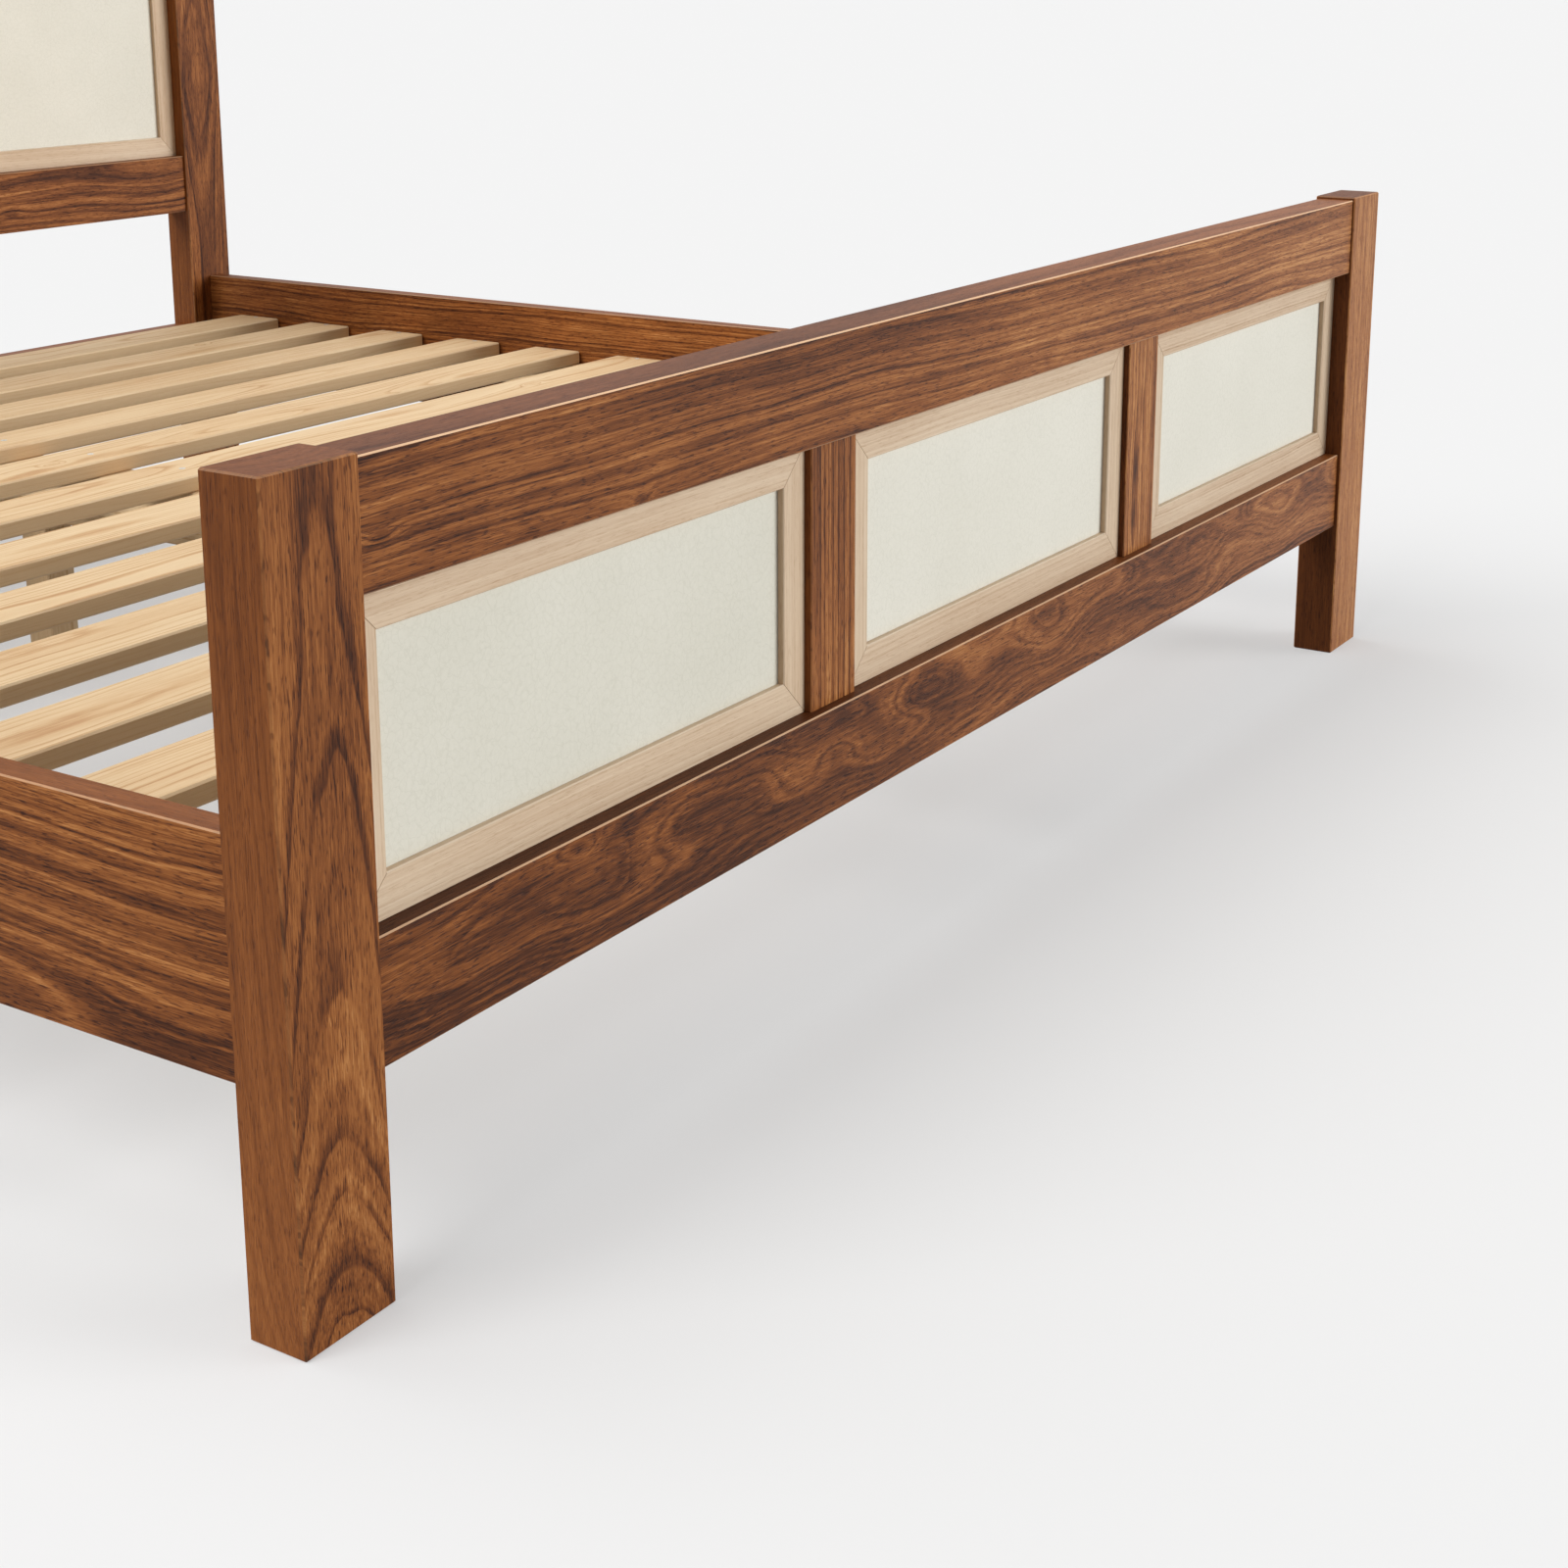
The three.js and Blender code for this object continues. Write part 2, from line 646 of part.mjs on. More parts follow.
// A saddle of folded steel that the beam's end drops into. The ears' back is at y = 0, the pocket
// is centred on x = 0, and the underside of the seat is at z = 0.
function hangerGeometry() {
  const halfWidth = beamWidth / 2 + seatGap;
  const outerBend = hangerBend + hangerSteel;
  const bendX = halfWidth - hangerBend;
  const section = new THREE.Shape();
  section.moveTo(-halfWidth - hangerSteel, hangerHeight);
  section.lineTo(-halfWidth - hangerSteel, outerBend);
  section.absarc(-bendX, outerBend, outerBend, Math.PI, 1.5 * Math.PI, false);
  section.lineTo(bendX, 0);
  section.absarc(bendX, outerBend, outerBend, 1.5 * Math.PI, 2 * Math.PI, false);
  section.lineTo(halfWidth + hangerSteel, hangerHeight);
  section.lineTo(halfWidth, hangerHeight);
  section.lineTo(halfWidth, outerBend);
  section.absarc(bendX, outerBend, hangerBend, 2 * Math.PI, 1.5 * Math.PI, true);
  section.lineTo(-bendX, hangerSteel);
  section.absarc(-bendX, outerBend, hangerBend, 1.5 * Math.PI, Math.PI, true);
  section.lineTo(-halfWidth, hangerHeight);
  section.closePath();
  const options = { depth: hangerDepth, bevelEnabled: false, curveSegments: bendSegments };
  const saddle = new THREE.ExtrudeGeometry(section, options)
    .rotateX(Math.PI / 2).translate(0, hangerDepth, 0);
  return cutAway(joinUp([saddle, ...hangerEars(halfWidth)]), hangerHoleCutters(halfWidth));
}

function hangerEars(halfWidth) {
  const height = hangerHeight - hangerSteel - hangerBend;
  const width = hangerSteel + hangerEarWidth;
  const bottom = hangerSteel + hangerBend;
  return [
    boxAt(halfWidth, 0, bottom, width, hangerSteel, height),
    boxAt(-halfWidth - width, 0, bottom, width, hangerSteel, height),
  ];
}

function hangerHoleCutters(halfWidth) {
  const x = halfWidth + hangerSteel + hangerEarWidth / 2;
  const middle = (hangerHeight + hangerSteel + hangerBend) / 2;
  const cutters = [];
  for (const side of [-1, 1]) {
    for (const up of [-1, 1]) {
      const hole = rod(screwHoleDiameter, hangerSteel + 2 * overrun).rotateX(-Math.PI / 2);
      cutters.push(hole.translate(side * x, -overrun, middle + up * hangerHoleSpacing / 2));
    }
  }
  return cutters;
}

// A leg from its lower corner, with a tenon on top and a bore for the foot's stud below.
function legGeometry() {
  const bottom = footTop + footFreeGap;
  const height = legTop - bottom;
  const body = bar(legWidth, legWidth, height, legArris, lengthAlongZ);
  const inset = (legWidth - legTenonWidth) / 2;
  const tongue = boxAt(inset, inset, height / 2, legTenonWidth, legTenonWidth, height / 2 + legTenonLength);
  const bore = rod(footStudDiameter + 2 * footBoreGap, footStudLength + footBoreSpare + overrun)
    .translate(legWidth / 2, legWidth / 2, -overrun);
  return cutAway(joinUp([body, tongue]), [bore]);
}

// A levelling foot: a pad with a short cone and a stud, turned round Z.
function footGeometry() {
  const profile = [
    new THREE.Vector2(0, 0),
    new THREE.Vector2(footPadDiameter / 2 - footPadChamfer, 0),
    new THREE.Vector2(footPadDiameter / 2, footPadChamfer),
    new THREE.Vector2(footPadDiameter / 2, footPadHeight),
    new THREE.Vector2(footConeDiameter / 2, footTop),
    new THREE.Vector2(footStudDiameter / 2, footTop),
    new THREE.Vector2(footStudDiameter / 2, footTop + footStudLength - footPadChamfer),
    new THREE.Vector2(footStudDiameter / 2 - footPadChamfer, footTop + footStudLength),
    new THREE.Vector2(0, footTop + footStudLength),
  ];
  return new THREE.LatheGeometry(profile, roundSegments).rotateX(Math.PI / 2);
}

function centreSupport() {
  const group = new THREE.Group();
  const boardGap = deckLength + 2 * lowRailSetback;
  const length = boardGap - 2 * (seatGap + beamEndGap);
  const bottom = slatSeatHeight - beamHeight;
  group.add(piece("centre_beam", beamGeometry(length), pine, -beamWidth / 2, -length / 2, bottom));
  const hanger = hangerGeometry();
  const hangerBottom = bottom - seatGap - hangerSteel;
  const hangerY = boardGap / 2 - seatGap;
  const footHanger = piece("beam_hanger_foot", hanger, coatedSteel, 0, -hangerY, hangerBottom);
  const headHanger = piece("beam_hanger_head", hanger, coatedSteel, 0, hangerY, hangerBottom);
  headHanger.rotation.set(0, 0, Math.PI);
  group.add(footHanger, headHanger);
  const leg = legGeometry();
  const foot = footGeometry();
  legPlaces().forEach((y, i) => {
    const label = ["foot", "head"][i];
    const legZ = footTop + footFreeGap;
    group.add(piece(`centre_leg_${label}`, leg, pine, -legWidth / 2, y - legWidth / 2, legZ));
    group.add(piece(`levelling_foot_${label}`, foot, blackPlastic, 0, y, 0));
  });
  return group;
}

const bed = new THREE.Group();
bed.add(footboard(), headboard(), sideRails(), ledgers(), slats(), cornerFixings(), centreSupport());

export default bed;
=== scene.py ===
"""Finishes and small parts of a platform bed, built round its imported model.

Lengths are in metres. X runs across the bed, Y from its foot to its head and Z up.
"""

import logging
import math
from collections.abc import Iterable, Sequence
from dataclasses import dataclass, field, replace
from enum import Enum

import bpy
from mathutils import Matrix, Quaternion, Vector


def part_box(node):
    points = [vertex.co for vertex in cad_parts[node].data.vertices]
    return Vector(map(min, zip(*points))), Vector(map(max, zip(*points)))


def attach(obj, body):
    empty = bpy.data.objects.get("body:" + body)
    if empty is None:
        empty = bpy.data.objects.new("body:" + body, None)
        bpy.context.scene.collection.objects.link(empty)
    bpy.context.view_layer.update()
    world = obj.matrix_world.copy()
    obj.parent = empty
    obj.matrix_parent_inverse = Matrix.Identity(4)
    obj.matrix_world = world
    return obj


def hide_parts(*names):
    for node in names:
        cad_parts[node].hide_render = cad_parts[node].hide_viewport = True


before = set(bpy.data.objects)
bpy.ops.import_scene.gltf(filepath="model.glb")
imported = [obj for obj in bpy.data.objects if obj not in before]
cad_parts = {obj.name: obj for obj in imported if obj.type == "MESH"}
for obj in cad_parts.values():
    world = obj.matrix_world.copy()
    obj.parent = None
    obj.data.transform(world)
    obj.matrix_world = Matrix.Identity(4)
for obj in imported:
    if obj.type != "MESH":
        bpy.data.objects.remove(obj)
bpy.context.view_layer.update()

log = logging.getLogger("platform_bed")

Socket = bpy.types.NodeSocket
Signal = Socket | float | Sequence[float]
Material = bpy.types.Material
Shade = tuple[float, float, float, float]
Stops = tuple[tuple[float, int, int, int], ...]
Point = tuple[float, float, float]
Profile = tuple[tuple[float, float], ...]
Form = tuple[list[Vector], list[tuple[int, ...]]]

SURFACE = "surface"
WHITE = (1.0, 1.0, 1.0, 1.0)
# Where a face starts to count as looking along an axis, or as leaning, and where it counts in full.
UPWARD = (0.0, 0.4)
STRAIGHT = (0.2, 0.8)
LEANING = (0.1, 0.25)
# How far a pattern shifts along each axis, and the rings outwards at the last, as the number
# that sets a piece apart grows by 1.
RING_SHIFT = (3.7, 1.9, 2.3)
GRAIN_SHIFT = (5.3, 2.9, 4.1)
PANEL_SHIFT = (1.7, 0.9, 2.3)
RING_STEP = 0.71
# How far along the grain the strips of a frame lie from each other, so that no two are alike.
LYING_SHIFT = 3.1
STANDING_SHIFT = 5.3
STANDING_START = 9.7


def shade(red: int, green: int, blue: int) -> Shade:
    """Linear colour of a picture colour given from 0 to 255.

    Args:
        red: red share as it shows in a picture.
        green: green share as it shows in a picture.
        blue: blue share as it shows in a picture.

    Returns:
        The colour that a shader takes, with full cover.
    """
    linear = []
    for part in (red, green, blue):
        level = part / 255
        linear.append(level / 12.92 if level <= 0.04045 else ((level + 0.055) / 1.055) ** 2.4)
    return (linear[0], linear[1], linear[2], 1.0)


class Body(Enum):
    """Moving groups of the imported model."""

    BED = "bed_frame"
    FOOT_LEVELLER = "foot_leveller"
    HEAD_LEVELLER = "head_leveller"


class Slot(Enum):
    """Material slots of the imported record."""

    OAK = "pale_oak"
    ZINC = "zinc_steel"
    PLASTIC = "black_plastic"


class Run(Enum):
    """Axes along the grain, across the wide face and into the thickness of a piece."""

    RAIL = (0, 2, 1)
    SIDE = (1, 2, 0)
    UPRIGHT = (2, 0, 1)
    SLAT = (0, 1, 2)


class NodeSheet:
    """Adds nodes to one node tree, and joins or sets their inputs."""

    def __init__(self, tree: bpy.types.NodeTree) -> None:
        """Keeps the tree that the nodes go to."""
        self.tree = tree

    def feed(self, target: Socket, signal: Signal) -> None:
        """Joins an output to an input, or sets the input to a plain value.

        Args:
            target: the input.
            signal: another node's output, a number or a row of numbers.
        """
        if isinstance(signal, Socket):
            self.tree.links.new(signal, target)
        else:
            target.default_value = signal

    def node(self, kind: str, feeds: dict[str | int, Signal], **settings: object) -> bpy.types.Node:
        """Adds one node.

        Args:
            kind: the node's type.
            feeds: what goes to its inputs, by their name or number.
            settings: values of the node's own options.

        Returns:
            The node.
        """
        added = self.tree.nodes.new(kind)
        for option, value in settings.items():
            setattr(added, option, value)
        for key, signal in feeds.items():
            self.feed(added.inputs[key], signal)
        return added

    def maths(self, operation: str, *signals: Signal) -> Socket:
        """Result of a plain operation on one to three numbers."""
        return self.node("ShaderNodeMath", dict(enumerate(signals)), operation=operation).outputs[0]

    def add(self, first: Signal, second: Signal) -> Socket:
        """Sum of two numbers."""
        return self.maths("ADD", first, second)

    def less(self, first: Signal, second: Signal) -> Socket:
        """The first number less the second."""
        return self.maths("SUBTRACT", first, second)

    def times(self, first: Signal, second: Signal) -> Socket:
        """Product of two numbers."""
        return self.maths("MULTIPLY", first, second)

    def scaled(self, signal: Signal, factor: Signal, start: Signal) -> Socket:
        """A start with a number times a factor added to it."""
        return self.maths("MULTIPLY_ADD", signal, factor, start)

    def highest(self, first: Signal, second: Signal, third: Signal) -> Socket:
        """The highest of three numbers."""
        return self.maths("MAXIMUM", self.maths("MAXIMUM", first, second), third)

    def vector(self, operation: str, *signals: Signal) -> Socket:
        """The row, or the number, that an operation on one to three rows gives."""
        made = self.node("ShaderNodeVectorMath", dict(enumerate(signals)), operation=operation)
        return made.outputs["Value" if operation in ("DOT_PRODUCT", "LENGTH") else "Vector"]

    def shifted(self, place: Socket, shift: Point, seed: float) -> Socket:
        """Place moved by a shift times the number that sets a piece apart."""
        return self.vector("ADD", place, tuple(seed * part for part in shift))

    def join(self, *parts: Signal) -> Socket:
        """One row of three numbers from its parts."""
        return self.node("ShaderNodeCombineXYZ", dict(enumerate(parts))).outputs[0]

    def split(self, row: Socket) -> list[Socket]:
        """The three numbers of a row."""
        return list(self.node("ShaderNodeSeparateXYZ", {0: row}).outputs)

    def clouds(self, place: Socket, cells: Point, detail: float, rough: float = 0.5) -> bpy.types.Node:
        """Cloudy pattern with its own scale along each axis.

        Args:
            place: the place that the pattern is read at.
            cells: cells in a metre along each axis.
            detail: number of finer layers.
            rough: strength of the finer layers.

        Returns:
            The pattern's node.
        """
        scaled = self.vector("MULTIPLY", place, cells)
        feeds = {"Vector": scaled, "Scale": 1.0, "Detail": detail, "Roughness": rough}
        return self.node("ShaderNodeTexNoise", feeds)

    def cloud(self, place: Socket, cells: Point, detail: float, rough: float = 0.5) -> Socket:
        """Level of a cloudy pattern, from 0 to 1."""
        return self.clouds(place, cells, detail, rough).outputs["Fac"]

    def drift(self, place: Socket, cells: Point, detail: float, size: float) -> Socket:
        """Cloudy row of three numbers, each up to half the size above or below 0."""
        row = self.vector("SUBTRACT", self.clouds(place, cells, detail).outputs["Color"], (0.5,) * 3)
        return self.vector("MULTIPLY", row, (size,) * 3)

    def bands(self, count: Socket, scale: float, detail: float) -> Socket:
        """Uneven bands from 0 to 1 along one number."""
        feeds = {"W": count, "Scale": scale, "Detail": detail}
        return self.node("ShaderNodeTexNoise", feeds, noise_dimensions="1D").outputs["Fac"]

    def ease(self, signal: Socket, low: float, high: float) -> Socket:
        """Smooth step from 0 at low to 1 at high."""
        feeds = {"Value": signal, "From Min": low, "From Max": high}
        return self.node("ShaderNodeMapRange", feeds, interpolation_type="SMOOTHSTEP").outputs[0]

    def spread(self, signal: Socket, low: float, high: float) -> Socket:
        """Number from low to high as the signal goes from 0 to 1."""
        return self.scaled(signal, high - low, low)

    def ramp(self, signal: Socket, stops: Stops) -> Socket:
        """Colour along a ramp.

        Args:
            signal: place on the ramp, from 0 to 1.
            stops: places in order, each with its red, green and blue from 0 to 255.

        Returns:
            The colour.
        """
        made = self.node("ShaderNodeValToRGB", {0: signal})
        marks = made.color_ramp.elements
        while len(marks) < len(stops):
            marks.new(1.0)
        for mark, (place, *colour) in zip(marks, stops):
            mark.position = place
            mark.color = shade(*colour)
        return made.outputs[0]

    def mix(self, share: Signal, first: Signal, second: Signal) -> Socket:
        """Colour between two colours, where the share says how much the second counts."""
        feeds = {0: share, 6: first, 7: second}
        return self.node("ShaderNodeMix", feeds, data_type="RGBA").outputs[2]

    def choose(self, share: Socket, first: Socket, second: Socket) -> Socket:
        """Row between two rows of three numbers."""
        feeds = {0: share, 4: first, 5: second}
        return self.node("ShaderNodeMix", feeds, data_type="VECTOR").outputs[1]

    def place(self) -> Socket:
        """Place on the piece, in the frame's metres."""
        return self.node("ShaderNodeTexCoord", {}).outputs["Object"]

    def facing(self) -> Socket:
        """Direction that the face looks in."""
        return self.node("ShaderNodeNewGeometry", {}).outputs["True Normal"]

    def looks(self) -> list[Socket]:
        """How straight the face looks along X, Y and Z, each from 0 to 1."""
        return self.split(self.vector("ABSOLUTE", self.facing()))

    def looks_up(self) -> Socket:
        """Level of 1 on faces that look upwards, and 0 on those that look down."""
        return self.ease(self.split(self.facing())[2], *UPWARD)

    def looks_along(self, axis: int) -> Socket:
        """Level of 1 on faces that look along one axis, and 0 on those that look aside."""
        return self.ease(self.looks()[axis], *STRAIGHT)

    def arris(self) -> Socket:
        """Level of 1 on an eased edge that leans between two faces, and 0 on the faces."""
        return self.ease(self.less(1.0, self.highest(*self.looks())), *LEANING)

    def relief(self, height: Socket, depth: float, strength: float) -> Socket:
        """Normal that a height pattern of a given depth gives the surface."""
        feeds = {"Height": height, "Distance": depth, "Strength": strength}
        return self.node("ShaderNodeBump", feeds).outputs["Normal"]

    def cover(self, feeds: dict[str, Signal]) -> None:
        """Joins or sets inputs of the surface shader, by their names."""
        for name, signal in feeds.items():
            self.feed(self.tree.nodes[SURFACE].inputs[name], signal)


def empty_sheet(owner: Material | bpy.types.World) -> NodeSheet:
    """Node sheet of a material or a world, with nothing on it.

    Args:
        owner: the material or world.

    Returns:
        The node sheet.
    """
    owner.use_nodes = True
    owner.node_tree.nodes.clear()
    return NodeSheet(owner.node_tree)


def new_material(name: str) -> tuple[Material, NodeSheet]:
    """Material with nothing on it but its surface shader.

    Args:
        name: the material's name.

    Returns:
        The material and its node sheet.
    """
    material = bpy.data.materials.new(name)
    sheet = empty_sheet(material)
    surface = sheet.node("ShaderNodeBsdfPrincipled", {}, name=SURFACE)
    sheet.node("ShaderNodeOutputMaterial", {"Surface": surface.outputs[0]})
    return material, sheet


@dataclass(frozen=True)
class Sawing:
    """Where a board lay in its log, which gives its figure.

    The heart of the log lies behind the board's face. It runs nearer to the face round
    the crest, where the rings come out as nested arches. Wander, wave and ripple bend the
    rings. The tones, boldness, lines and smoke set how dark and how strong the figure is.
    """

    heart_across: float = 0.0
    heart_depth: float = 0.05
    lean: float = 0.0
    dip: float = 0.0
    crest: float = 0.0
    reach: float = 0.3
    wander: float = 0.01
    seed: float = 0.0
    tone: float = 0.0
    # Steady change of tone along the grain: partly the wood's own tone, partly painted light.
    tone_and_light_run: float = 0.0
    fineness: float = 1.0
    # How strongly eased edges take the pale edge colour, which is partly wear and partly a painted
    # highlight.
    arris: float = 0.4
    boldness: float = 1.0
    wave: float = 2.4
    # Painted shade on the faces beside the wide face, and painted light that lifts the faces looking up.
    side_shade: float = 0.0
    top_light: float = 0.0
    lines: float = 1.0
    smoke: float = 1.0
    ripple: float = 0.0012
    crest_round: float = 0.012


@dataclass(frozen=True)
class Eye:
    """A swirl of the rings round a small knot."""

    along: float
    across: float
    reach: float = 0.03
    width: float = 0.012
    lift: float = 0.008
    core: float = 0.2


@dataclass(frozen=True)
class WoodFinish:
    """One timber with its finish, from which each board gets its own figure.

    A band, pitch or feather is a length across the rings, and a share is how much a
    pattern counts in the tone. A range is the levels where a pattern sets in and where it
    shows in full. Cells are how many fit in a metre along, across and into a board.
    """

    name: str
    stops: Stops
    # Pale colour of eased edges: partly wear, partly a painted highlight.
    wear_and_highlight: Shade
    band: float
    pitch: float
    band_share: float
    fine_share: float
    line_share: float
    patch_share: float
    fibre_share: float
    pore_share: float
    roughness: float
    relief: float
    fine_band: float = 0.0022
    feather: float = 0.0007
    smoke_share: float = 0.1
    strand_share: float = 0.3
    specular: float = 0.3
    edge_boldness: float = 0.25
    edge_grain: float = 0.5
    # Share of the pale edge colour on edges that do not look up; edges that look up take it in full as a
    # painted highlight.
    edge_arris: float = 0.35
    smoke_band: float = 0.006
    smoke_feather: float = 0.005
    fibre_turn: float = 0.5
    gloss_share: float = 0.14
    relief_depth: float = 0.0004
    pore_range: tuple[float, float] = (0.56, 0.7)
    smoke_range: tuple[float, float] = (0.44, 0.74)
    line_range: tuple[float, float] = (0.33, 0.55)
    wander_share: float = 2.2
    wander_cells: float = 7.0
    ripple_cells: Point = (12.0, 45.0, 45.0)
    patch_cells: Point = (4.0, 20.0, 20.0)
    line_cells: Point = (5.0, 40.0, 40.0)
    strand_cells: Point = (11.0, 230.0, 230.0)
    fibre_cells: Point = (26.0, 1000.0, 1000.0)
    pore_cells: Point = (90.0, 850.0, 850.0)
    groups: dict[str, bpy.types.NodeTree] = field(default_factory=dict, hash=False)

    def figure_group(self) -> bpy.types.NodeTree:
        """Node group that turns a place and its ring distance into colour and relief.

        Returns:
            The group, made at the first call and shared by all boards.
        """
        if self.name in self.groups:
            return self.groups[self.name]
        tree = bpy.data.node_groups.new(f"{self.name}_figure", "ShaderNodeTree")
        kinds = {"Place": "Vector", "Color": "Color"}
        for way, labels in (
            ("INPUT", ("Place", "Rings", "Tone", "Boldness", "Grain", "Lines", "Smoke")),
            ("OUTPUT", ("Color", "Roughness", "Height")),
        ):
            for label in labels:
                kind = f"NodeSocket{kinds.get(label, 'Float')}"
                tree.interface.new_socket(label, in_out=way, socket_type=kind)
        sheet = NodeSheet(tree)
        given = sheet.node("NodeGroupInput", {}).outputs
        place = given["Place"]
        along, across, into = sheet.split(place)
        turned_rings = sheet.times(given["Rings"], self.fibre_turn)
        grain_place = sheet.join(along, turned_rings, sheet.add(across, into))
        strand = sheet.cloud(grain_place, self.strand_cells, 3.0, 0.6)
        fibre = sheet.cloud(grain_place, self.fibre_cells, 4.0, 0.7)
        pores = sheet.ease(sheet.cloud(grain_place, self.pore_cells, 1.0), *self.pore_range)
        rings = sheet.scaled(strand, self.feather * 2, given["Rings"])
        rings = sheet.scaled(fibre, self.feather, rings)
        line = sheet.times(self.ring_lines(sheet, place, rings), given["Lines"])
        smoke_rings = sheet.scaled(strand, self.smoke_feather, rings)
        smoke = sheet.ease(sheet.bands(smoke_rings, 1 / self.smoke_band, 1.5), *self.smoke_range)
        figure = self.layered(sheet, (
            (sheet.bands(rings, 1 / self.band, 2.0), self.band_share, 0.5),
            (sheet.bands(rings, 1 / self.fine_band, 1.5), self.fine_share, 0.5),
            (sheet.cloud(place, self.patch_cells, 3.0), self.patch_share, 0.5),
            (line, -self.line_share, 0.15),
            (sheet.times(smoke, given["Smoke"]), -self.smoke_share, 0.2),
        ))
        grain = self.layered(sheet, (
            (strand, self.strand_share, 0.5),
            (fibre, self.fibre_share, 0.5),
            (pores, -self.pore_share, 0.15),
        ))
        tone = sheet.scaled(figure, given["Boldness"], sheet.add(given["Tone"], 0.5))
        tone = sheet.scaled(grain, given["Grain"], tone)
        rough = sheet.scaled(tone, -self.gloss_share, self.roughness + self.gloss_share / 2)
        height = sheet.scaled(line, -0.3, sheet.scaled(pores, -1.0, sheet.times(fibre, 0.6)))
        colour = sheet.ramp(tone, self.stops)
        sheet.node("NodeGroupOutput", {"Color": colour, "Roughness": rough, "Height": height})
        self.groups[self.name] = tree
        return tree

    def ring_lines(self, sheet: NodeSheet, place: Socket, rings: Socket) -> Socket:
        """Dark lines between the rings, uneven in their spacing and strength.

        Args:
            sheet: the node sheet.
            place: place along, across and into the board.
            rings: the feathered ring distance.

        Returns:
            Level of 1 in the middle of a strong line, and 0 between the lines.
        """
        uneven = sheet.bands(rings, 0.2 / self.pitch, 1.0)
        count = sheet.scaled(rings, 1 / self.pitch, sheet.spread(uneven, 0.0, 3.0))
        turn = sheet.maths("FRACT", count)
        line = sheet.times(sheet.ease(turn, 0.0, 0.06), sheet.ease(turn, 0.4, 0.06))
        showing = sheet.ease(sheet.cloud(place, self.line_cells, 1.0), *self.line_range)
        return sheet.times(line, sheet.spread(showing, 0.3, 1.0))

    def layered(self, sheet: NodeSheet, layers: Iterable[tuple[Socket, float, float]]) -> Signal:
        """Sum of several patterns round their middle levels.

        Args:
            sheet: the node sheet.
            layers: each pattern with its share and its middle level.

        Returns:
            The summed level.
        """
        total: Signal = 0.0
        for layer, share, middle in layers:
            total = sheet.add(total, sheet.scaled(layer, share, -share * middle))
        return total

    def ring_distance(
        self, sheet: NodeSheet, place: Socket, sawing: Sawing, eyes: Iterable[Eye]
    ) -> tuple[Socket, Signal]:
        """Distance of each place from the heart of the log, which follows the rings.

        Args:
            sheet: the material's node sheet.
            place: place along, across and into the board.
            sawing: where the board lay in its log.
            eyes: swirls in the figure.

        Returns:
            The distance in metres, and how much the eyes darken the place.
        """
        apart = sheet.shifted(place, RING_SHIFT, sawing.seed)
        slow_cells = (sawing.wave, self.wander_cells, self.wander_cells)
        slow = sheet.drift(apart, slow_cells, 0.8, sawing.wander * self.wander_share)
        quick = sheet.drift(apart, self.ripple_cells, 2.0, sawing.ripple)
        moved = sheet.vector("ADD", sheet.vector("ADD", place, slow), quick)
        along, across, into = sheet.split(moved)
        apart = sheet.less(along, sawing.crest)
        apart = sheet.maths("SQRT", sheet.scaled(apart, apart, sawing.crest_round**2))
        near = sheet.maths("EXPONENT", sheet.times(apart, -1 / sawing.reach))
        depth = sheet.scaled(near, -sawing.dip, sawing.heart_depth + sawing.dip)
        depth = sheet.scaled(along, sawing.lean, depth)
        sideways = sheet.less(across, sawing.heart_across)
        rings = sheet.vector("LENGTH", sheet.join(sideways, sheet.less(into, depth), 0.0))
        core: Signal = 0.0
        rippled = sheet.vector("ADD", place, quick)
        for eye in eyes:
            offset = sheet.vector("SUBTRACT", rippled, (eye.along, eye.across, 0.0))
            scaled = sheet.vector("MULTIPLY", offset, (1 / eye.reach, 1 / eye.width, 0.0))
            apart = sheet.times(sheet.vector("DOT_PRODUCT", scaled, scaled), -1.0)
            fall = sheet.maths("EXPONENT", apart)
            rings = sheet.scaled(fall, eye.lift, rings)
            core = sheet.scaled(sheet.maths("POWER", fall, 4.0), eye.core, core)
        return sheet.scaled(rings, sawing.fineness, sawing.seed * RING_STEP), core

    def finish(
        self, sheet: NodeSheet, place: Socket, into: int, sawing: Sawing, eyes: Iterable[Eye]
    ) -> None:
        """Joins the figure to the material's surface shader.

        Args:
            sheet: the material's node sheet.
            place: place along, across and into the board.
            into: axis that the board's wide face looks along.
            sawing: where the board lay in its log.
            eyes: swirls in the figure.
        """
        rings, core = self.ring_distance(sheet, place, sawing, eyes)
        wide = sheet.looks_along(into)
        upward = sheet.looks_up()
        # The tone changes steadily along the grain, partly as the wood's own tone and partly as painted
        # light.
        tone = sheet.scaled(sheet.split(place)[0], sawing.tone_and_light_run, sawing.tone)
        # Faces beside the wide face are darkened as painted shade, and those that look up are lifted back
        # as painted light.
        tone = sheet.add(tone, sheet.spread(wide, sawing.side_shade, 0.0))
        tone = sheet.scaled(upward, sawing.top_light, tone)
        feeds = {
            "Place": sheet.shifted(place, GRAIN_SHIFT, sawing.seed),
            "Rings": rings,
            "Tone": sheet.less(tone, core),
            "Boldness": sheet.spread(wide, sawing.boldness * self.edge_boldness, sawing.boldness),
            "Grain": sheet.spread(wide, self.edge_grain, 1.0),
            "Lines": sawing.lines,
            "Smoke": sawing.smoke,
        }
        figure = sheet.node("ShaderNodeGroup", feeds, node_tree=self.figure_group()).outputs
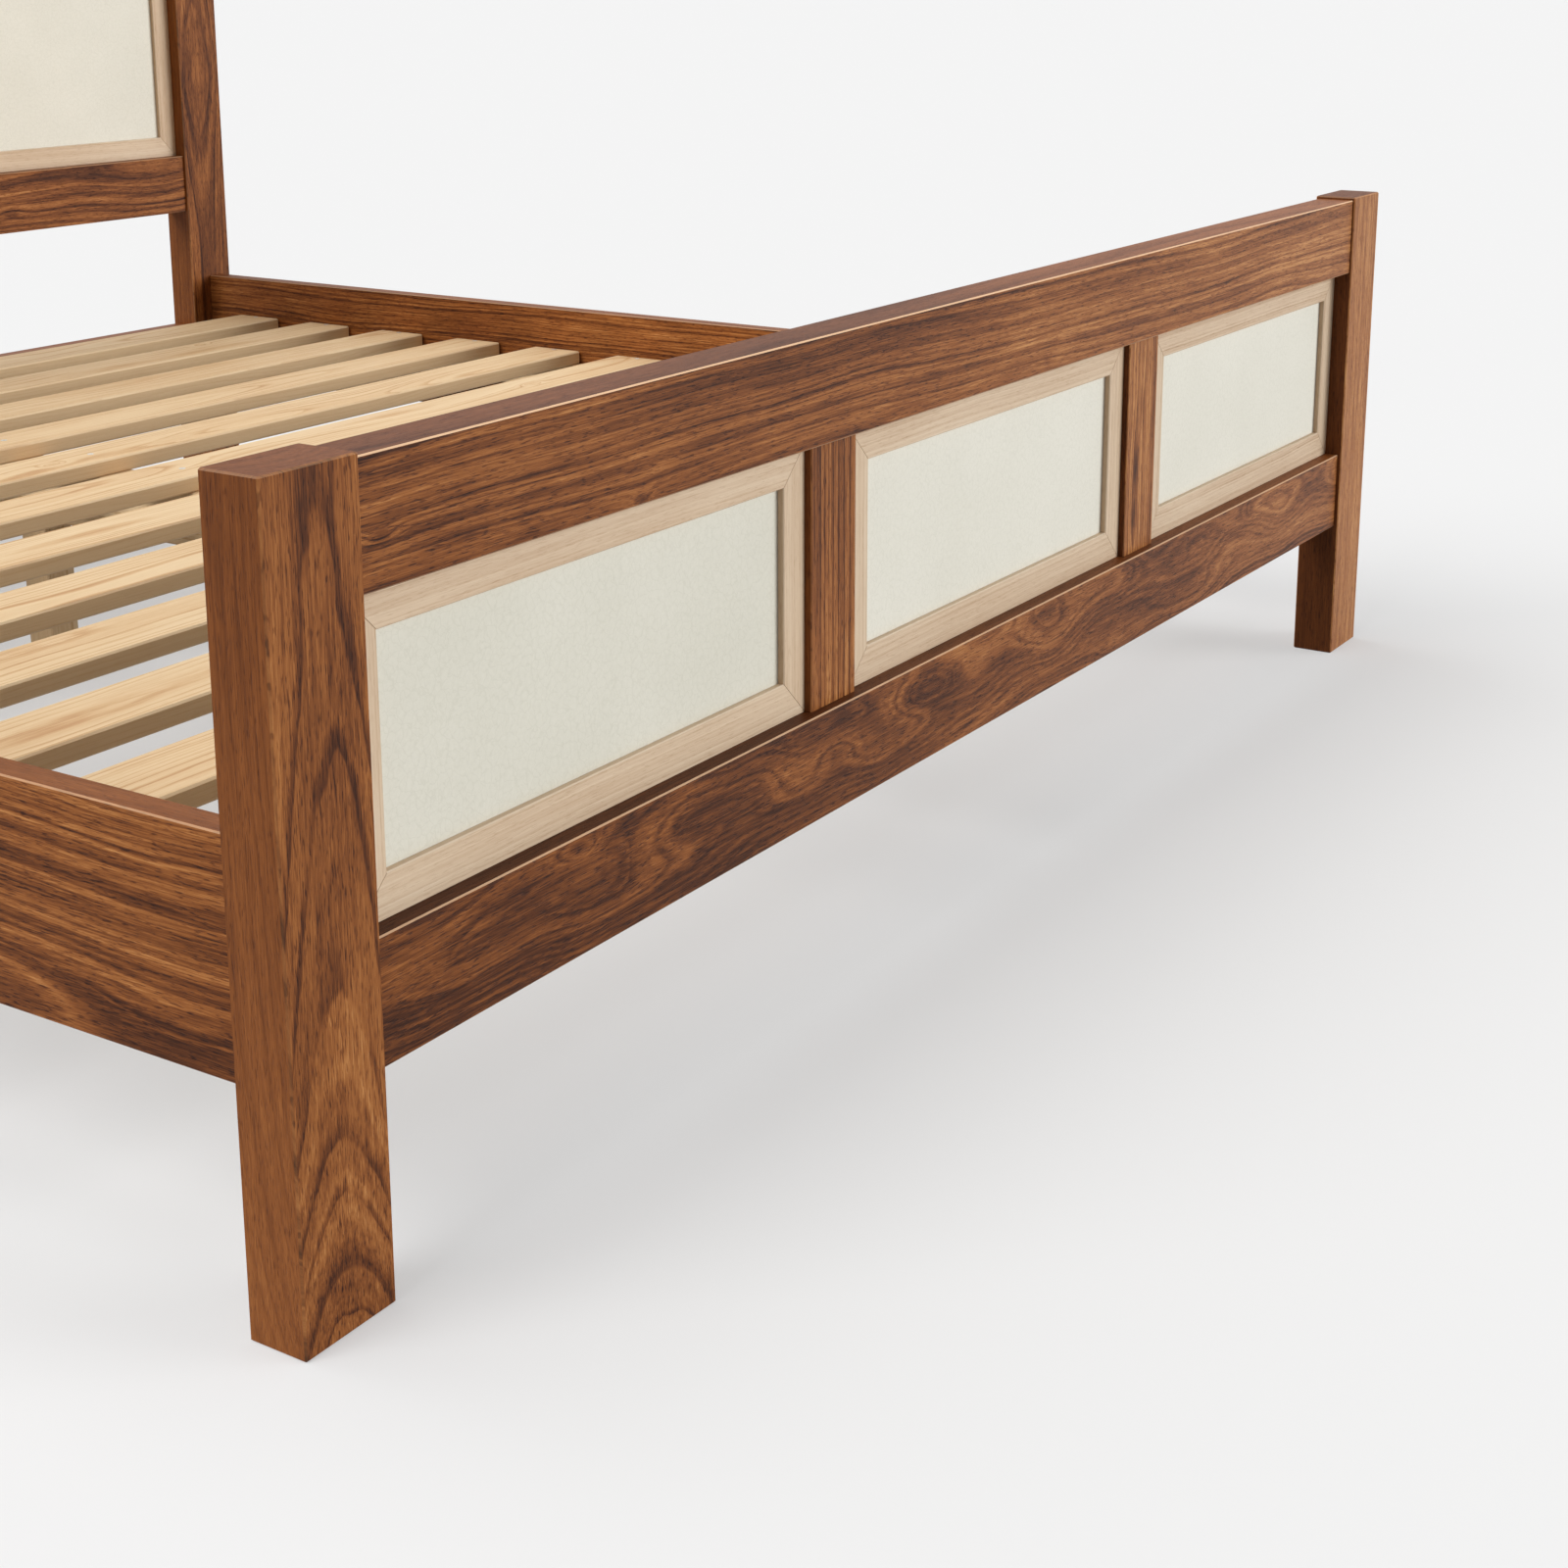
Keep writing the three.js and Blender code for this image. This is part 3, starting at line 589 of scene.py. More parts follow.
        # Eased edges are mixed towards a pale colour: partly wear, partly a painted highlight that is
        # full where the edge looks up and weaker elsewhere.
        edge = sheet.spread(upward, sawing.arris * self.edge_arris, sawing.arris)
        sheet.cover({
            "Base Color": sheet.mix(sheet.times(sheet.arris(), edge), figure["Color"], self.wear_and_highlight),
            "Roughness": figure["Roughness"],
            "Normal": sheet.relief(figure["Height"], self.relief_depth, self.relief),
            "Specular IOR Level": self.specular,
        })

    def dress_board(self, node: str, run: Run, sawing: Sawing, eyes: Iterable[Eye] = ()) -> None:
        """Gives one straight board its own figure.

        Args:
            node: the board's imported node.
            run: the way that its grain runs.
            sawing: where the board lay in its log.
            eyes: swirls in the figure.
        """
        material, sheet = new_material(f"{self.name}_{node}")
        middle = middle_of(node)
        parts = sheet.split(sheet.place())
        along, across, into = run.value
        place = sheet.join(
            parts[along],
            sheet.less(parts[across], middle[across]),
            sheet.less(parts[into], middle[into]),
        )
        self.finish(sheet, place, into, sawing, eyes)
        dress(node, material)

    def mitred_frame(self, name: str, low: Vector, high: Vector, sawing: Sawing) -> Material:
        """Material of a frame whose grain turns the corner at each mitre.

        Args:
            name: the frame's name.
            low: lowest corner of the frame.
            high: highest corner of the frame.
            sawing: where the strips lay in their log.

        Returns:
            The material.
        """
        material, sheet = new_material(f"{self.name}_{name}")
        middle = (low + high) / 2
        half = (high - low) / 2
        east, into, up = sheet.split(sheet.vector("SUBTRACT", sheet.place(), tuple(middle)))
        from_side = sheet.less(half.x, sheet.maths("ABSOLUTE", east))
        from_end = sheet.less(half.z, sheet.maths("ABSOLUTE", up))
        upright = sheet.maths("LESS_THAN", from_side, from_end)
        lying_shift = sheet.times(sheet.maths("SIGN", up), LYING_SHIFT)
        standing_shift = sheet.scaled(sheet.maths("SIGN", east), STANDING_SHIFT, STANDING_START)
        lying = sheet.join(sheet.add(east, lying_shift), from_end, into)
        standing = sheet.join(sheet.add(up, standing_shift), from_side, into)
        self.finish(sheet, sheet.choose(upright, lying, standing), Run.RAIL.value[2], sawing, ())
        return material


# Each finish's pale edge colour is partly wear and partly a painted highlight.
WALNUT = WoodFinish(
    name="walnut",
    stops=(
        (0.0, 44, 18, 5),
        (0.25, 78, 40, 17),
        (0.45, 113, 63, 28),
        (0.6, 136, 80, 38),
        (0.8, 164, 104, 54),
        (1.0, 196, 138, 82),
    ),
    wear_and_highlight=shade(228, 188, 150),
    band=0.016, pitch=0.008, band_share=0.6, fine_share=0.3, line_share=0.28, smoke_share=0.26,
    patch_share=0.6, strand_share=0.5, fibre_share=1.1, pore_share=0.28,
    specular=0.12, roughness=0.46, relief=0.4,
)

OAK = WoodFinish(
    name="pale_oak",
    stops=(
        (0.0, 158, 120, 86),
        (0.3, 200, 171, 140),
        (0.6, 218, 194, 165),
        (1.0, 230, 213, 190),
    ),
    wear_and_highlight=shade(228, 212, 190),
    band=0.014, pitch=0.004, feather=0.0006, band_share=0.4, fine_share=0.4, line_share=0.12,
    patch_share=0.5, fibre_share=0.45, pore_share=0.14,
    roughness=0.5, relief=0.25,
)

PINE = WoodFinish(
    name="pine",
    stops=(
        (0.0, 180, 132, 88),
        (0.35, 208, 172, 128),
        (0.6, 222, 193, 152),
        (1.0, 234, 212, 176),
    ),
    wear_and_highlight=shade(236, 212, 176),
    band=0.02, fine_band=0.004, pitch=0.0045, band_share=0.3, fine_share=0.25, line_share=0.35,
    patch_share=0.35, fibre_share=0.35, pore_share=0.05,
    roughness=0.58, relief=0.3,
)


@dataclass(frozen=True)
class PanelFinish:
    """Cream board with a faint fibrous surface, crazed all over by fine seams."""

    dark: Shade = shade(210, 207, 191)
    light: Shade = shade(233, 230, 217)
    smooth: float = 0.49
    rough: float = 0.65
    seam_cells: float = 120.0
    seam_bend: float = 0.014
    bend_cells: Point = (90.0,) * 3
    fibre_cells: Point = (240.0,) * 3
    patch_cells: Point = (9.0,) * 3
    patch_share: float = 0.5
    fibre_share: float = 0.37
    seam_share: float = 0.2
    seam_rise: float = 0.4
    depth: float = 0.0003
    relief: float = 0.25

    def material(self, name: str, seed: float, tone: float) -> Material:
        """Material of one panel.

        Args:
            name: the panel's name.
            seed: number that sets this panel's pattern apart.
            tone: how much lighter than the darkest panel it is.

        Returns:
            The material.
        """
        material, sheet = new_material(f"cream_{name}")
        place = sheet.shifted(sheet.place(), PANEL_SHIFT, seed)
        bend = sheet.drift(place, self.bend_cells, 3.0, self.seam_bend)
        feeds = {"Vector": sheet.vector("ADD", place, bend), "Scale": self.seam_cells}
        crazing = sheet.node("ShaderNodeTexVoronoi", feeds, feature="DISTANCE_TO_EDGE")
        seam = sheet.ease(crazing.outputs["Distance"], 0.0, 0.09)
        fibre = sheet.cloud(place, self.fibre_cells, 4.0, 0.7)
        patch = sheet.spread(sheet.cloud(place, self.patch_cells, 3.0), tone, tone + self.patch_share)
        level = sheet.add(patch, sheet.spread(fibre, -self.fibre_share, self.fibre_share))
        level = sheet.scaled(seam, self.seam_share, level)
        sheet.cover({
            "Base Color": sheet.mix(level, self.dark, self.light),
            "Roughness": sheet.spread(fibre, self.smooth, self.rough),
            "Normal": sheet.relief(sheet.scaled(seam, self.seam_rise, fibre), self.depth, self.relief),
        })
        return material


@dataclass(frozen=True)
class HardFinish:
    """Metal, coating or moulded plastic with a fine grain and a faint mottle."""

    name: str
    dark: Shade
    light: Shade
    metallic: float
    smooth: float
    rough: float
    grain_cells: float
    depth: float
    mottle_cells: float = 60.0
    worn_share: float = 0.35
    grain_share: float = 0.3
    relief: float = 0.5

    def material(self) -> Material:
        """The material, which all pieces with this finish share.

        Returns:
            The material.
        """
        if self.name in bpy.data.materials:
            return bpy.data.materials[self.name]
        material, sheet = new_material(self.name)
        place = sheet.place()
        mottle = sheet.cloud(place, (self.mottle_cells,) * 3, 4.0, 0.6)
        grain = sheet.cloud(place, (self.grain_cells,) * 3, 2.0)
        fine = sheet.spread(grain, 0.0, self.grain_share)
        tone = sheet.add(sheet.spread(mottle, 0.0, 1.0 - self.grain_share), fine)
        tone = sheet.add(tone, sheet.times(sheet.arris(), self.worn_share))
        sheet.cover({
            "Base Color": sheet.mix(tone, self.dark, self.light),
            "Roughness": sheet.spread(mottle, self.smooth, self.rough),
            "Normal": sheet.relief(grain, self.depth, self.relief),
            "Metallic": self.metallic,
        })
        return material


COATED_STEEL = HardFinish(
    "coated_steel", shade(24, 24, 26), shade(46, 46, 48),
    metallic=0.0, smooth=0.42, rough=0.58, grain_cells=1300.0, depth=0.00008,
)
ZINC_STEEL = HardFinish(
    "zinc_steel", shade(138, 140, 146), shade(196, 198, 202),
    metallic=1.0, smooth=0.24, rough=0.42, grain_cells=2600.0, depth=0.00003,
)
BLACK_PLASTIC = HardFinish(
    "black_plastic", shade(20, 20, 21), shade(40, 40, 42),
    metallic=0.0, smooth=0.45, rough=0.65, grain_cells=2200.0, depth=0.00005,
)


class Outline(Enum):
    """Shape of one ring of a turned piece, seen from its end."""

    ROUND = "round"
    HEXAGON = "hexagon"
    CROSS = "cross"


@dataclass(frozen=True)
class Ring:
    """One ring of a turned piece: its radius, height and outline."""

    radius: float
    height: float
    outline: Outline = Outline.ROUND
    arm_share: float = 0.3

    def reach(self, angle: float) -> float:
        """Distance of the ring from its middle in one direction.

        Args:
            angle: the direction, in radians.

        Returns:
            The distance in metres.
        """
        if self.outline is Outline.HEXAGON:
            sixth = math.pi / 3
            return self.radius * math.cos(sixth / 2) / math.cos(angle % sixth - sixth / 2)
        if self.outline is Outline.CROSS:
            narrow = min(abs(math.sin(angle)), abs(math.cos(angle)))
            return min(self.radius, self.radius * self.arm_share / max(narrow, 1e-6))
        return self.radius


def round_point(radius: float, angle: float, height: float) -> Vector:
    """Point at a radius, an angle and a height round Z."""
    return Vector((radius * math.cos(angle), radius * math.sin(angle), height))


def closed_round(rows: Sequence[Sequence[Vector]]) -> Form:
    """Closed form over rows of points round Z, with a centre point at each end.

    Args:
        rows: the rows from the lower end, over the outside and to the other end.

    Returns:
        The corners and the faces, which look outwards.
    """
    points = [Vector((0.0, 0.0, rows[0][0].z))]
    for row in rows:
        points.extend(row)
    points.append(Vector((0.0, 0.0, rows[-1][0].z)))
    steps = len(rows[0])
    end = len(points) - 1
    faces: list[tuple[int, ...]] = []
    for step in range(steps):
        after = (step + 1) % steps
        faces.append((0, 1 + after, 1 + step))
        for start in range(1, end - steps, steps):
            above = start + steps
            faces.append((start + step, start + after, above + after, above + step))
        faces.append((end, end - steps + step, end - steps + after))
    return points, faces


def turned(rings: Sequence[Ring], steps: int) -> Form:
    """Closed form made of rings round Z, each with as many corners as there are steps."""
    angles = [2 * math.pi * step / steps for step in range(steps)]
    return closed_round([[round_point(ring.reach(a), a, ring.height) for a in angles] for ring in rings])


def repeated(form: Form, places: Iterable[Matrix]) -> Form:
    """The same form at several places.

    Args:
        form: corners and faces of one form.
        places: where each copy goes.

    Returns:
        All corners and all faces.
    """
    points: list[Vector] = []
    faces: list[tuple[int, ...]] = []
    for place in places:
        start = len(points)
        points.extend(place @ point for point in form[0])
        faces.extend(tuple(start + corner for corner in face) for face in form[1])
    return points, faces


def facing(place: Point, direction: Point, spin: float = 0.0) -> Matrix:
    """Matrix that puts a form's Z along a direction, after a spin round its own Z in radians."""
    turn = Vector((0.0, 0.0, 1.0)).rotation_difference(Vector(direction))
    return Matrix.Translation(place) @ turn.to_matrix().to_4x4() @ Matrix.Rotation(spin, 4, "Z")


def build_mesh(name: str, form: Form, crease: float) -> bpy.types.Mesh:
    """Mesh with smooth shading up to a crease angle.

    Args:
        name: the mesh's name.
        form: its corners and faces.
        crease: angle in degrees above which an edge stays sharp.

    Returns:
        The mesh.
    """
    mesh = bpy.data.meshes.new(name)
    mesh.from_pydata([tuple(point) for point in form[0]], [], form[1])
    mesh.validate()
    mesh.shade_smooth()
    mesh.set_sharp_from_angle(angle=math.radians(crease))
    return mesh


def add_object(name: str, data: bpy.types.ID) -> bpy.types.Object:
    """Puts a mesh, lamp or camera in the scene.

    Args:
        name: the object's name.
        data: its mesh, lamp or camera.

    Returns:
        The object.
    """
    added = bpy.data.objects.new(name, data)
    bpy.context.scene.collection.objects.link(added)
    return added


def add_piece(
    name: str, form: Form, crease: float, body: Body, material: Material
) -> bpy.types.Object:
    """Puts a form in the scene as a piece of the bed.

    Args:
        name: the piece's name.
        form: its corners and faces, in the frame's metres.
        crease: angle in degrees above which an edge stays sharp.
        body: the body that it moves with.
        material: its finish.

    Returns:
        The piece.
    """
    mesh = build_mesh(name, form, crease)
    piece = add_object(name, mesh)
    mesh.materials.append(material)
    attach(piece, body.value)
    log.info("built %s: %d faces, on %s", name, len(mesh.polygons), body.value)
    return piece


def dress(node: str, material: Material) -> None:
    """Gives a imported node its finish.

    Args:
        node: the node's name.
        material: its finish.
    """
    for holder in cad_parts[node].material_slots:
        holder.material = material
    log.info("dressed %s in %s", node, material.name)


def middle_of(node: str) -> Vector:
    """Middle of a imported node's box."""
    low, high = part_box(node)
    return (low + high) / 2


@dataclass(frozen=True)
class Lamp:
    """Broad lamp far away: where it stands, its light and its breadth in degrees."""

    name: str
    direction: Point
    level: float
    breadth: float


@dataclass
class Studio:
    """Pale floor, soft daylight and the camera, whose angles are in degrees."""

    picture_white: float = 0.896
    sky: float = 0.22
    floor_bounce: float = 0.38
    floor_catch: float = 0.42
    floor_reach: float = 120.0
    lamps: tuple[Lamp, ...] = (
        Lamp("overhead", (0.1, 0.15, 1.0), 0.2, 45.0),
        Lamp("front", (0.5, -0.86, 0.12), 0.95, 40.0),
        Lamp("left", (-0.75, 0.25, 0.62), 0.78, 45.0),
        Lamp("back", (-0.05, 0.7, 0.75), 0.25, 50.0),
    )
    camera_place: Point = (-2.041, -2.103, 0.916)
    camera_film: float = 36.0
    camera_lens: float = 54.855
    camera_turn: float = 57.49
    camera_dip: float = 13.77
    camera_roll: float = -0.1
    camera_shift: float = -0.16
    camera_sight: float = 400.0

    def build(self) -> None:
        """Makes the whole studio."""
        bpy.context.scene.view_settings.view_transform = "Standard"
        self.make_sky()
        self.make_floor()
        self.make_lamps()
        self.make_camera()

    def seen_ray(self, sheet: NodeSheet) -> Socket:
        """Level of 1 for rays from the camera, from gloss and through clear pieces."""
        rays = sheet.node("ShaderNodeLightPath", {}).outputs
        return sheet.highest(rays["Is Camera Ray"], rays["Is Glossy Ray"], rays["Is Transmission Ray"])

    def make_sky(self) -> None:
        """Makes the even white daylight round the bed."""
        world = bpy.data.worlds.new("daylight")
        bpy.context.scene.world = world
        sheet = empty_sheet(world)
        light = sheet.node("ShaderNodeBackground", {"Color": WHITE, "Strength": self.sky})
        shown = sheet.node("ShaderNodeBackground", {"Color": WHITE, "Strength": self.picture_white})
        feeds = {0: self.seen_ray(sheet), 1: light.outputs[0], 2: shown.outputs[0]}
        mixed = sheet.node("ShaderNodeMixShader", feeds)
        sheet.node("ShaderNodeOutputWorld", {"Surface": mixed.outputs[0]})

    def open_floor_light(self) -> float:
        """Light that falls on the open floor, where 1 shows a colour as written."""
        return sum((lamp.level * Vector(lamp.direction).normalized().z for lamp in self.lamps), self.sky)

    def make_floor(self) -> None:
        """Makes the floor, which shows the background's white and keeps the shadow."""
        corners = ((-1, -1), (1, -1), (1, 1), (-1, 1))
        points = [Vector((x * self.floor_reach, y * self.floor_reach, 0.0)) for x, y in corners]
        mesh = build_mesh("floor", (points, [(0, 1, 2, 3)]), 30.0)
        floor = add_object("floor", mesh)
        material = bpy.data.materials.new("pale_floor")
        sheet = empty_sheet(material)
        bounce = sheet.node("ShaderNodeBsdfDiffuse", {"Color": (self.floor_bounce,) * 3 + (1.0,)})
        catch = sheet.node("ShaderNodeBsdfDiffuse", {"Color": (self.floor_catch,) * 3 + (1.0,)})
        glow_level = self.picture_white - self.floor_catch * self.open_floor_light()
        glow = sheet.node("ShaderNodeEmission", {"Color": WHITE, "Strength": glow_level})
        shown = sheet.node("ShaderNodeAddShader", {0: catch.outputs[0], 1: glow.outputs[0]})
        feeds = {0: self.seen_ray(sheet), 1: bounce.outputs[0], 2: shown.outputs[0]}
        mixed = sheet.node("ShaderNodeMixShader", feeds)
        sheet.node("ShaderNodeOutputMaterial", {"Surface": mixed.outputs[0]})
        mesh.materials.append(material)

    def make_lamps(self) -> None:
        """Makes the broad lamps, each far away so that it lights the floor evenly."""
        for lamp in self.lamps:
            light = bpy.data.lights.new(lamp.name, "SUN")
            light.energy = lamp.level * math.pi
            light.angle = math.radians(lamp.breadth)
            holder = add_object(lamp.name, light)
            holder.rotation_mode = "QUATERNION"
            holder.rotation_quaternion = Vector(lamp.direction).to_track_quat("Z", "Y")

    def make_camera(self) -> None:
        """Makes the camera at the photograph's place and angle."""
        lens = bpy.data.cameras.new("camera")
        lens.sensor_width = self.camera_film
        lens.lens = self.camera_lens
        lens.shift_y = self.camera_shift
        lens.clip_end = self.camera_sight
        turn = math.radians(self.camera_turn)
        dip = math.radians(self.camera_dip)
        look = Vector((math.sin(turn) * math.cos(dip), math.cos(turn) * math.cos(dip), -math.sin(dip)))
        camera = add_object("camera", lens)
        camera.location = self.camera_place
        camera.rotation_mode = "QUATERNION"
        roll = Quaternion((0.0, 0.0, 1.0), math.radians(self.camera_roll))
        camera.rotation_quaternion = look.to_track_quat("-Z", "Y") @ roll
        bpy.context.scene.camera = camera


def mitred_ring(low: Vector, high: Vector, section: Profile, gap: float) -> Form:
    """Four strips round an upright rectangle, each cut to a mitre at both ends.

    Args:
        low: lowest corner of the rectangle.
        high: highest corner of the rectangle.
        section: the strip's corners as (distance inwards, Y).
        gap: how far each end stands back from its mitre.

    Returns:
        The corners and the faces, which look outwards.
    """
    points: list[Vector] = []
    faces: list[tuple[int, ...]] = []
    count = len(section)
    for side in range(4):
        start = len(points)
        for end in (0, 1):
            for inwards, y in section:
                left, right = low.x + inwards, high.x - inwards
                bottom, top = low.z + inwards, high.z - inwards
                corners = ((left, bottom), (right, bottom), (right, top), (left, top))
                x, z = corners[(side + end) % 4]
                far_x, far_z = corners[(side + 1 - end) % 4]
                reach = math.hypot(far_x - x, far_z - z)
                points.append(Vector((x + (far_x - x) * gap / reach, y, z + (far_z - z) * gap / reach)))
        for corner in range(count):
            after = (corner + 1) % count
            faces.append((start + corner, start + count + corner, start + count + after, start + after))
        faces.append(tuple(start + corner for corner in range(count)))
        faces.append(tuple(start + count + corner for corner in reversed(range(count))))
    return points, faces


@dataclass
class PanelBoard:
    """Footboard or headboard: walnut posts, rails and mullions round oak frames."""

    prefix: str
    rails: tuple[str, ...]
    sawings: dict[str, Sawing]
    eyes: dict[str, tuple[Eye, ...]]
    seed: float
    uprights: tuple[str, ...] = ("post_left", "post_right", "mullion_left", "mullion_right")
    bays: tuple[str, ...] = ("left", "centre", "right")
    # Lightness of each panel over the darkest; on the footboard the darker near panel is painted shade.
    panel_tones_and_shade: tuple[float, ...] = (0.0, 0.4, 0.4)
    bead_width: float = 0.0082
    bead_depth: float = 0.0034
    bead_chamfer: float = 0.0012
    bead_gap: float = 0.0002
    bead_crease: float = 20.0
    mitre_gap: float = 0.0001
    # The strips' side and lower faces get painted shade, and the faces that look up are lifted back by
    # painted light.
    strip: Sawing = Sawing(0.3, 0.1, wander=0.006, side_shade=-0.22, top_light=0.22)

    def build(self) -> None:
        """Dresses the board and adds the beads behind its panels."""
        for part in self.uprights + self.rails:
            node = f"{self.prefix}_{part}"
            run = Run.UPRIGHT if part in self.uprights else Run.RAIL
            WALNUT.dress_board(node, run, self.sawings[part], self.eyes.get(part, ()))
        for number, bay in enumerate(self.bays):
            node = f"{self.prefix}_frame_{bay}"
            sawing = replace(self.strip, seed=self.seed + number)
            dress(node, OAK.mitred_frame(node, *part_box(node), sawing))
            panel = f"{self.prefix}_panel_{bay}"
            # Each panel's lightness, which on the footboard's near panel is painted shade.
            dress(panel, PanelFinish().material(panel, sawing.seed, self.panel_tones_and_shade[number]))
            self.add_bead(bay, sawing)

    def add_bead(self, bay: str, sawing: Sawing) -> None:
        """Adds the mitred bead that holds a panel in its frame's rabbet.

        Args:
            bay: which panel.
            sawing: where its strips lay in their log.
        """
        low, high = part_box(f"{self.prefix}_panel_{bay}")
        front = high.y + self.bead_gap
        back = front + self.bead_depth
        cut = self.bead_chamfer
        section = (
            (0.0, front),
            (self.bead_width, front),
            (self.bead_width, back - cut),
            (self.bead_width - cut, back),
            (0.0, back),
        )
        form = mitred_ring(low, high, section, self.mitre_gap)
        name = f"{self.prefix}_bead_{bay}"
        finish = OAK.mitred_frame(name, low, high, sawing)
        add_piece(name, form, self.bead_crease, Body.BED, finish)


@dataclass
class ScrewHead:
    """Head of a cross-slot wood screw with a short length of its shank."""

    radius: float = 0.0042
    height: float = 0.0022
    flat_height: float = 0.0003
    edge: float = 0.0001
    cone: float = 0.0022
    slot: float = 0.0021
    slot_depth: float = 0.0016
    shank: float = 0.0018
    shank_length: float = 0.004
    flat: bool = False
    steps: int = 48
    crease: float = 35.0

    def form(self) -> Form:
        """Corners and faces of one head, whose seat is at Z 0.

        Returns:
            The corners and the faces.
        """
        top = self.flat_height if self.flat else self.height
        rim = self.edge if self.flat else self.height * 0.45
        rings = [
            Ring(self.shank, -self.shank_length),
            Ring(self.shank, -self.cone if self.flat else -self.edge),
            Ring(self.radius * 0.97, -self.edge),
            Ring(self.radius, rim),
            Ring(self.radius * 0.93, (rim + top) / 2 if self.flat else self.height * 0.78),
            Ring(self.radius * 0.72, top * 0.98),
            Ring(self.slot * 1.12, top, Outline.CROSS),
            Ring(self.slot, top - self.edge, Outline.CROSS),
            Ring(self.slot * 0.55, top - self.slot_depth, Outline.CROSS),
        ]
        return turned(rings, self.steps)

    def row(self, name: str, places: Iterable[Matrix]) -> None:
        """Adds several heads as one piece."""
        form = repeated(self.form(), places)
        add_piece(name, form, self.crease, Body.BED, ZINC_STEEL.material())


@dataclass
class SideRails:
    """Walnut side rails with the ledgers screwed inside them."""

    ledger_screws: int = 9
    ledger_inset: float = 0.06
    spin_step: float = 1.3
    screw: ScrewHead = field(default_factory=lambda: ScrewHead(flat=True))

    def build(self) -> None:
        """Dresses the rails and ledgers and adds the ledgers' screws."""
        for side, inward, seed in (("left", 1.0, 21.0), ("right", -1.0, 24.0)):
            cut = Sawing(heart_across=-0.07, heart_depth=inward * 0.05, wander=0.02, seed=seed)
            WALNUT.dress_board(f"side_rail_{side}", Run.SIDE, cut)
            plain = Sawing(heart_across=0.1, heart_depth=0.06, wander=0.008, seed=seed + 1)
            PINE.dress_board(f"slat_ledger_{side}", Run.SIDE, plain)
            self.add_screws(side, inward)

    def add_screws(self, side: str, inward: float) -> None:
        """Adds a row of flat screws along a ledger.

        Args:
            side: which side of the bed.
            inward: 1 where the bed lies towards +X, and -1 towards -X.
        """
        low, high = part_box(f"slat_ledger_{side}")
        inner = high.x if inward > 0 else low.x
        span = high.y - low.y - 2 * self.ledger_inset
        places = []
        for number in range(self.ledger_screws):
            y = low.y + self.ledger_inset + span * number / (self.ledger_screws - 1)
            place = (inner, y, (low.z + high.z) / 2)
            places.append(facing(place, (inward, 0.0, 0.0), number * self.spin_step))
        self.screw.row(f"ledger_screws_{side}", places)


@dataclass
class Deck:
    """Twelve softwood slats, each screwed to the ledgers and the centre beam."""

    slat_count: int = 12
    screw: ScrewHead = field(default_factory=lambda: ScrewHead(flat=True))

    def build(self) -> None:
        """Dresses the slats and adds their screws."""
        ledger_x = abs(middle_of("slat_ledger_left").x)
        places = []
        for number in range(1, self.slat_count + 1):
            slat = f"slat_{number:02d}"
            cut = Sawing(
                heart_across=0.03 * math.sin(number * 2.1),
                heart_depth=-0.05 - 0.02 * math.cos(number * 1.7),
                lean=0.012 * math.sin(number * 3.3),
                wander=0.012,
                seed=30.0 + number,
            )
            knot = Eye(0.7 * math.sin(number * 4.7), 0.025 * math.cos(number * 2.9), 0.02, 0.009, 0.011)
            PINE.dress_board(slat, Run.SLAT, cut, (knot,))
            for x in (-ledger_x, 0.0, ledger_x):
                place = (x, middle_of(slat).y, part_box(slat)[1].z)
                places.append(facing(place, (0.0, 0.0, 1.0), number + x))
        self.screw.row("slat_screws", places)


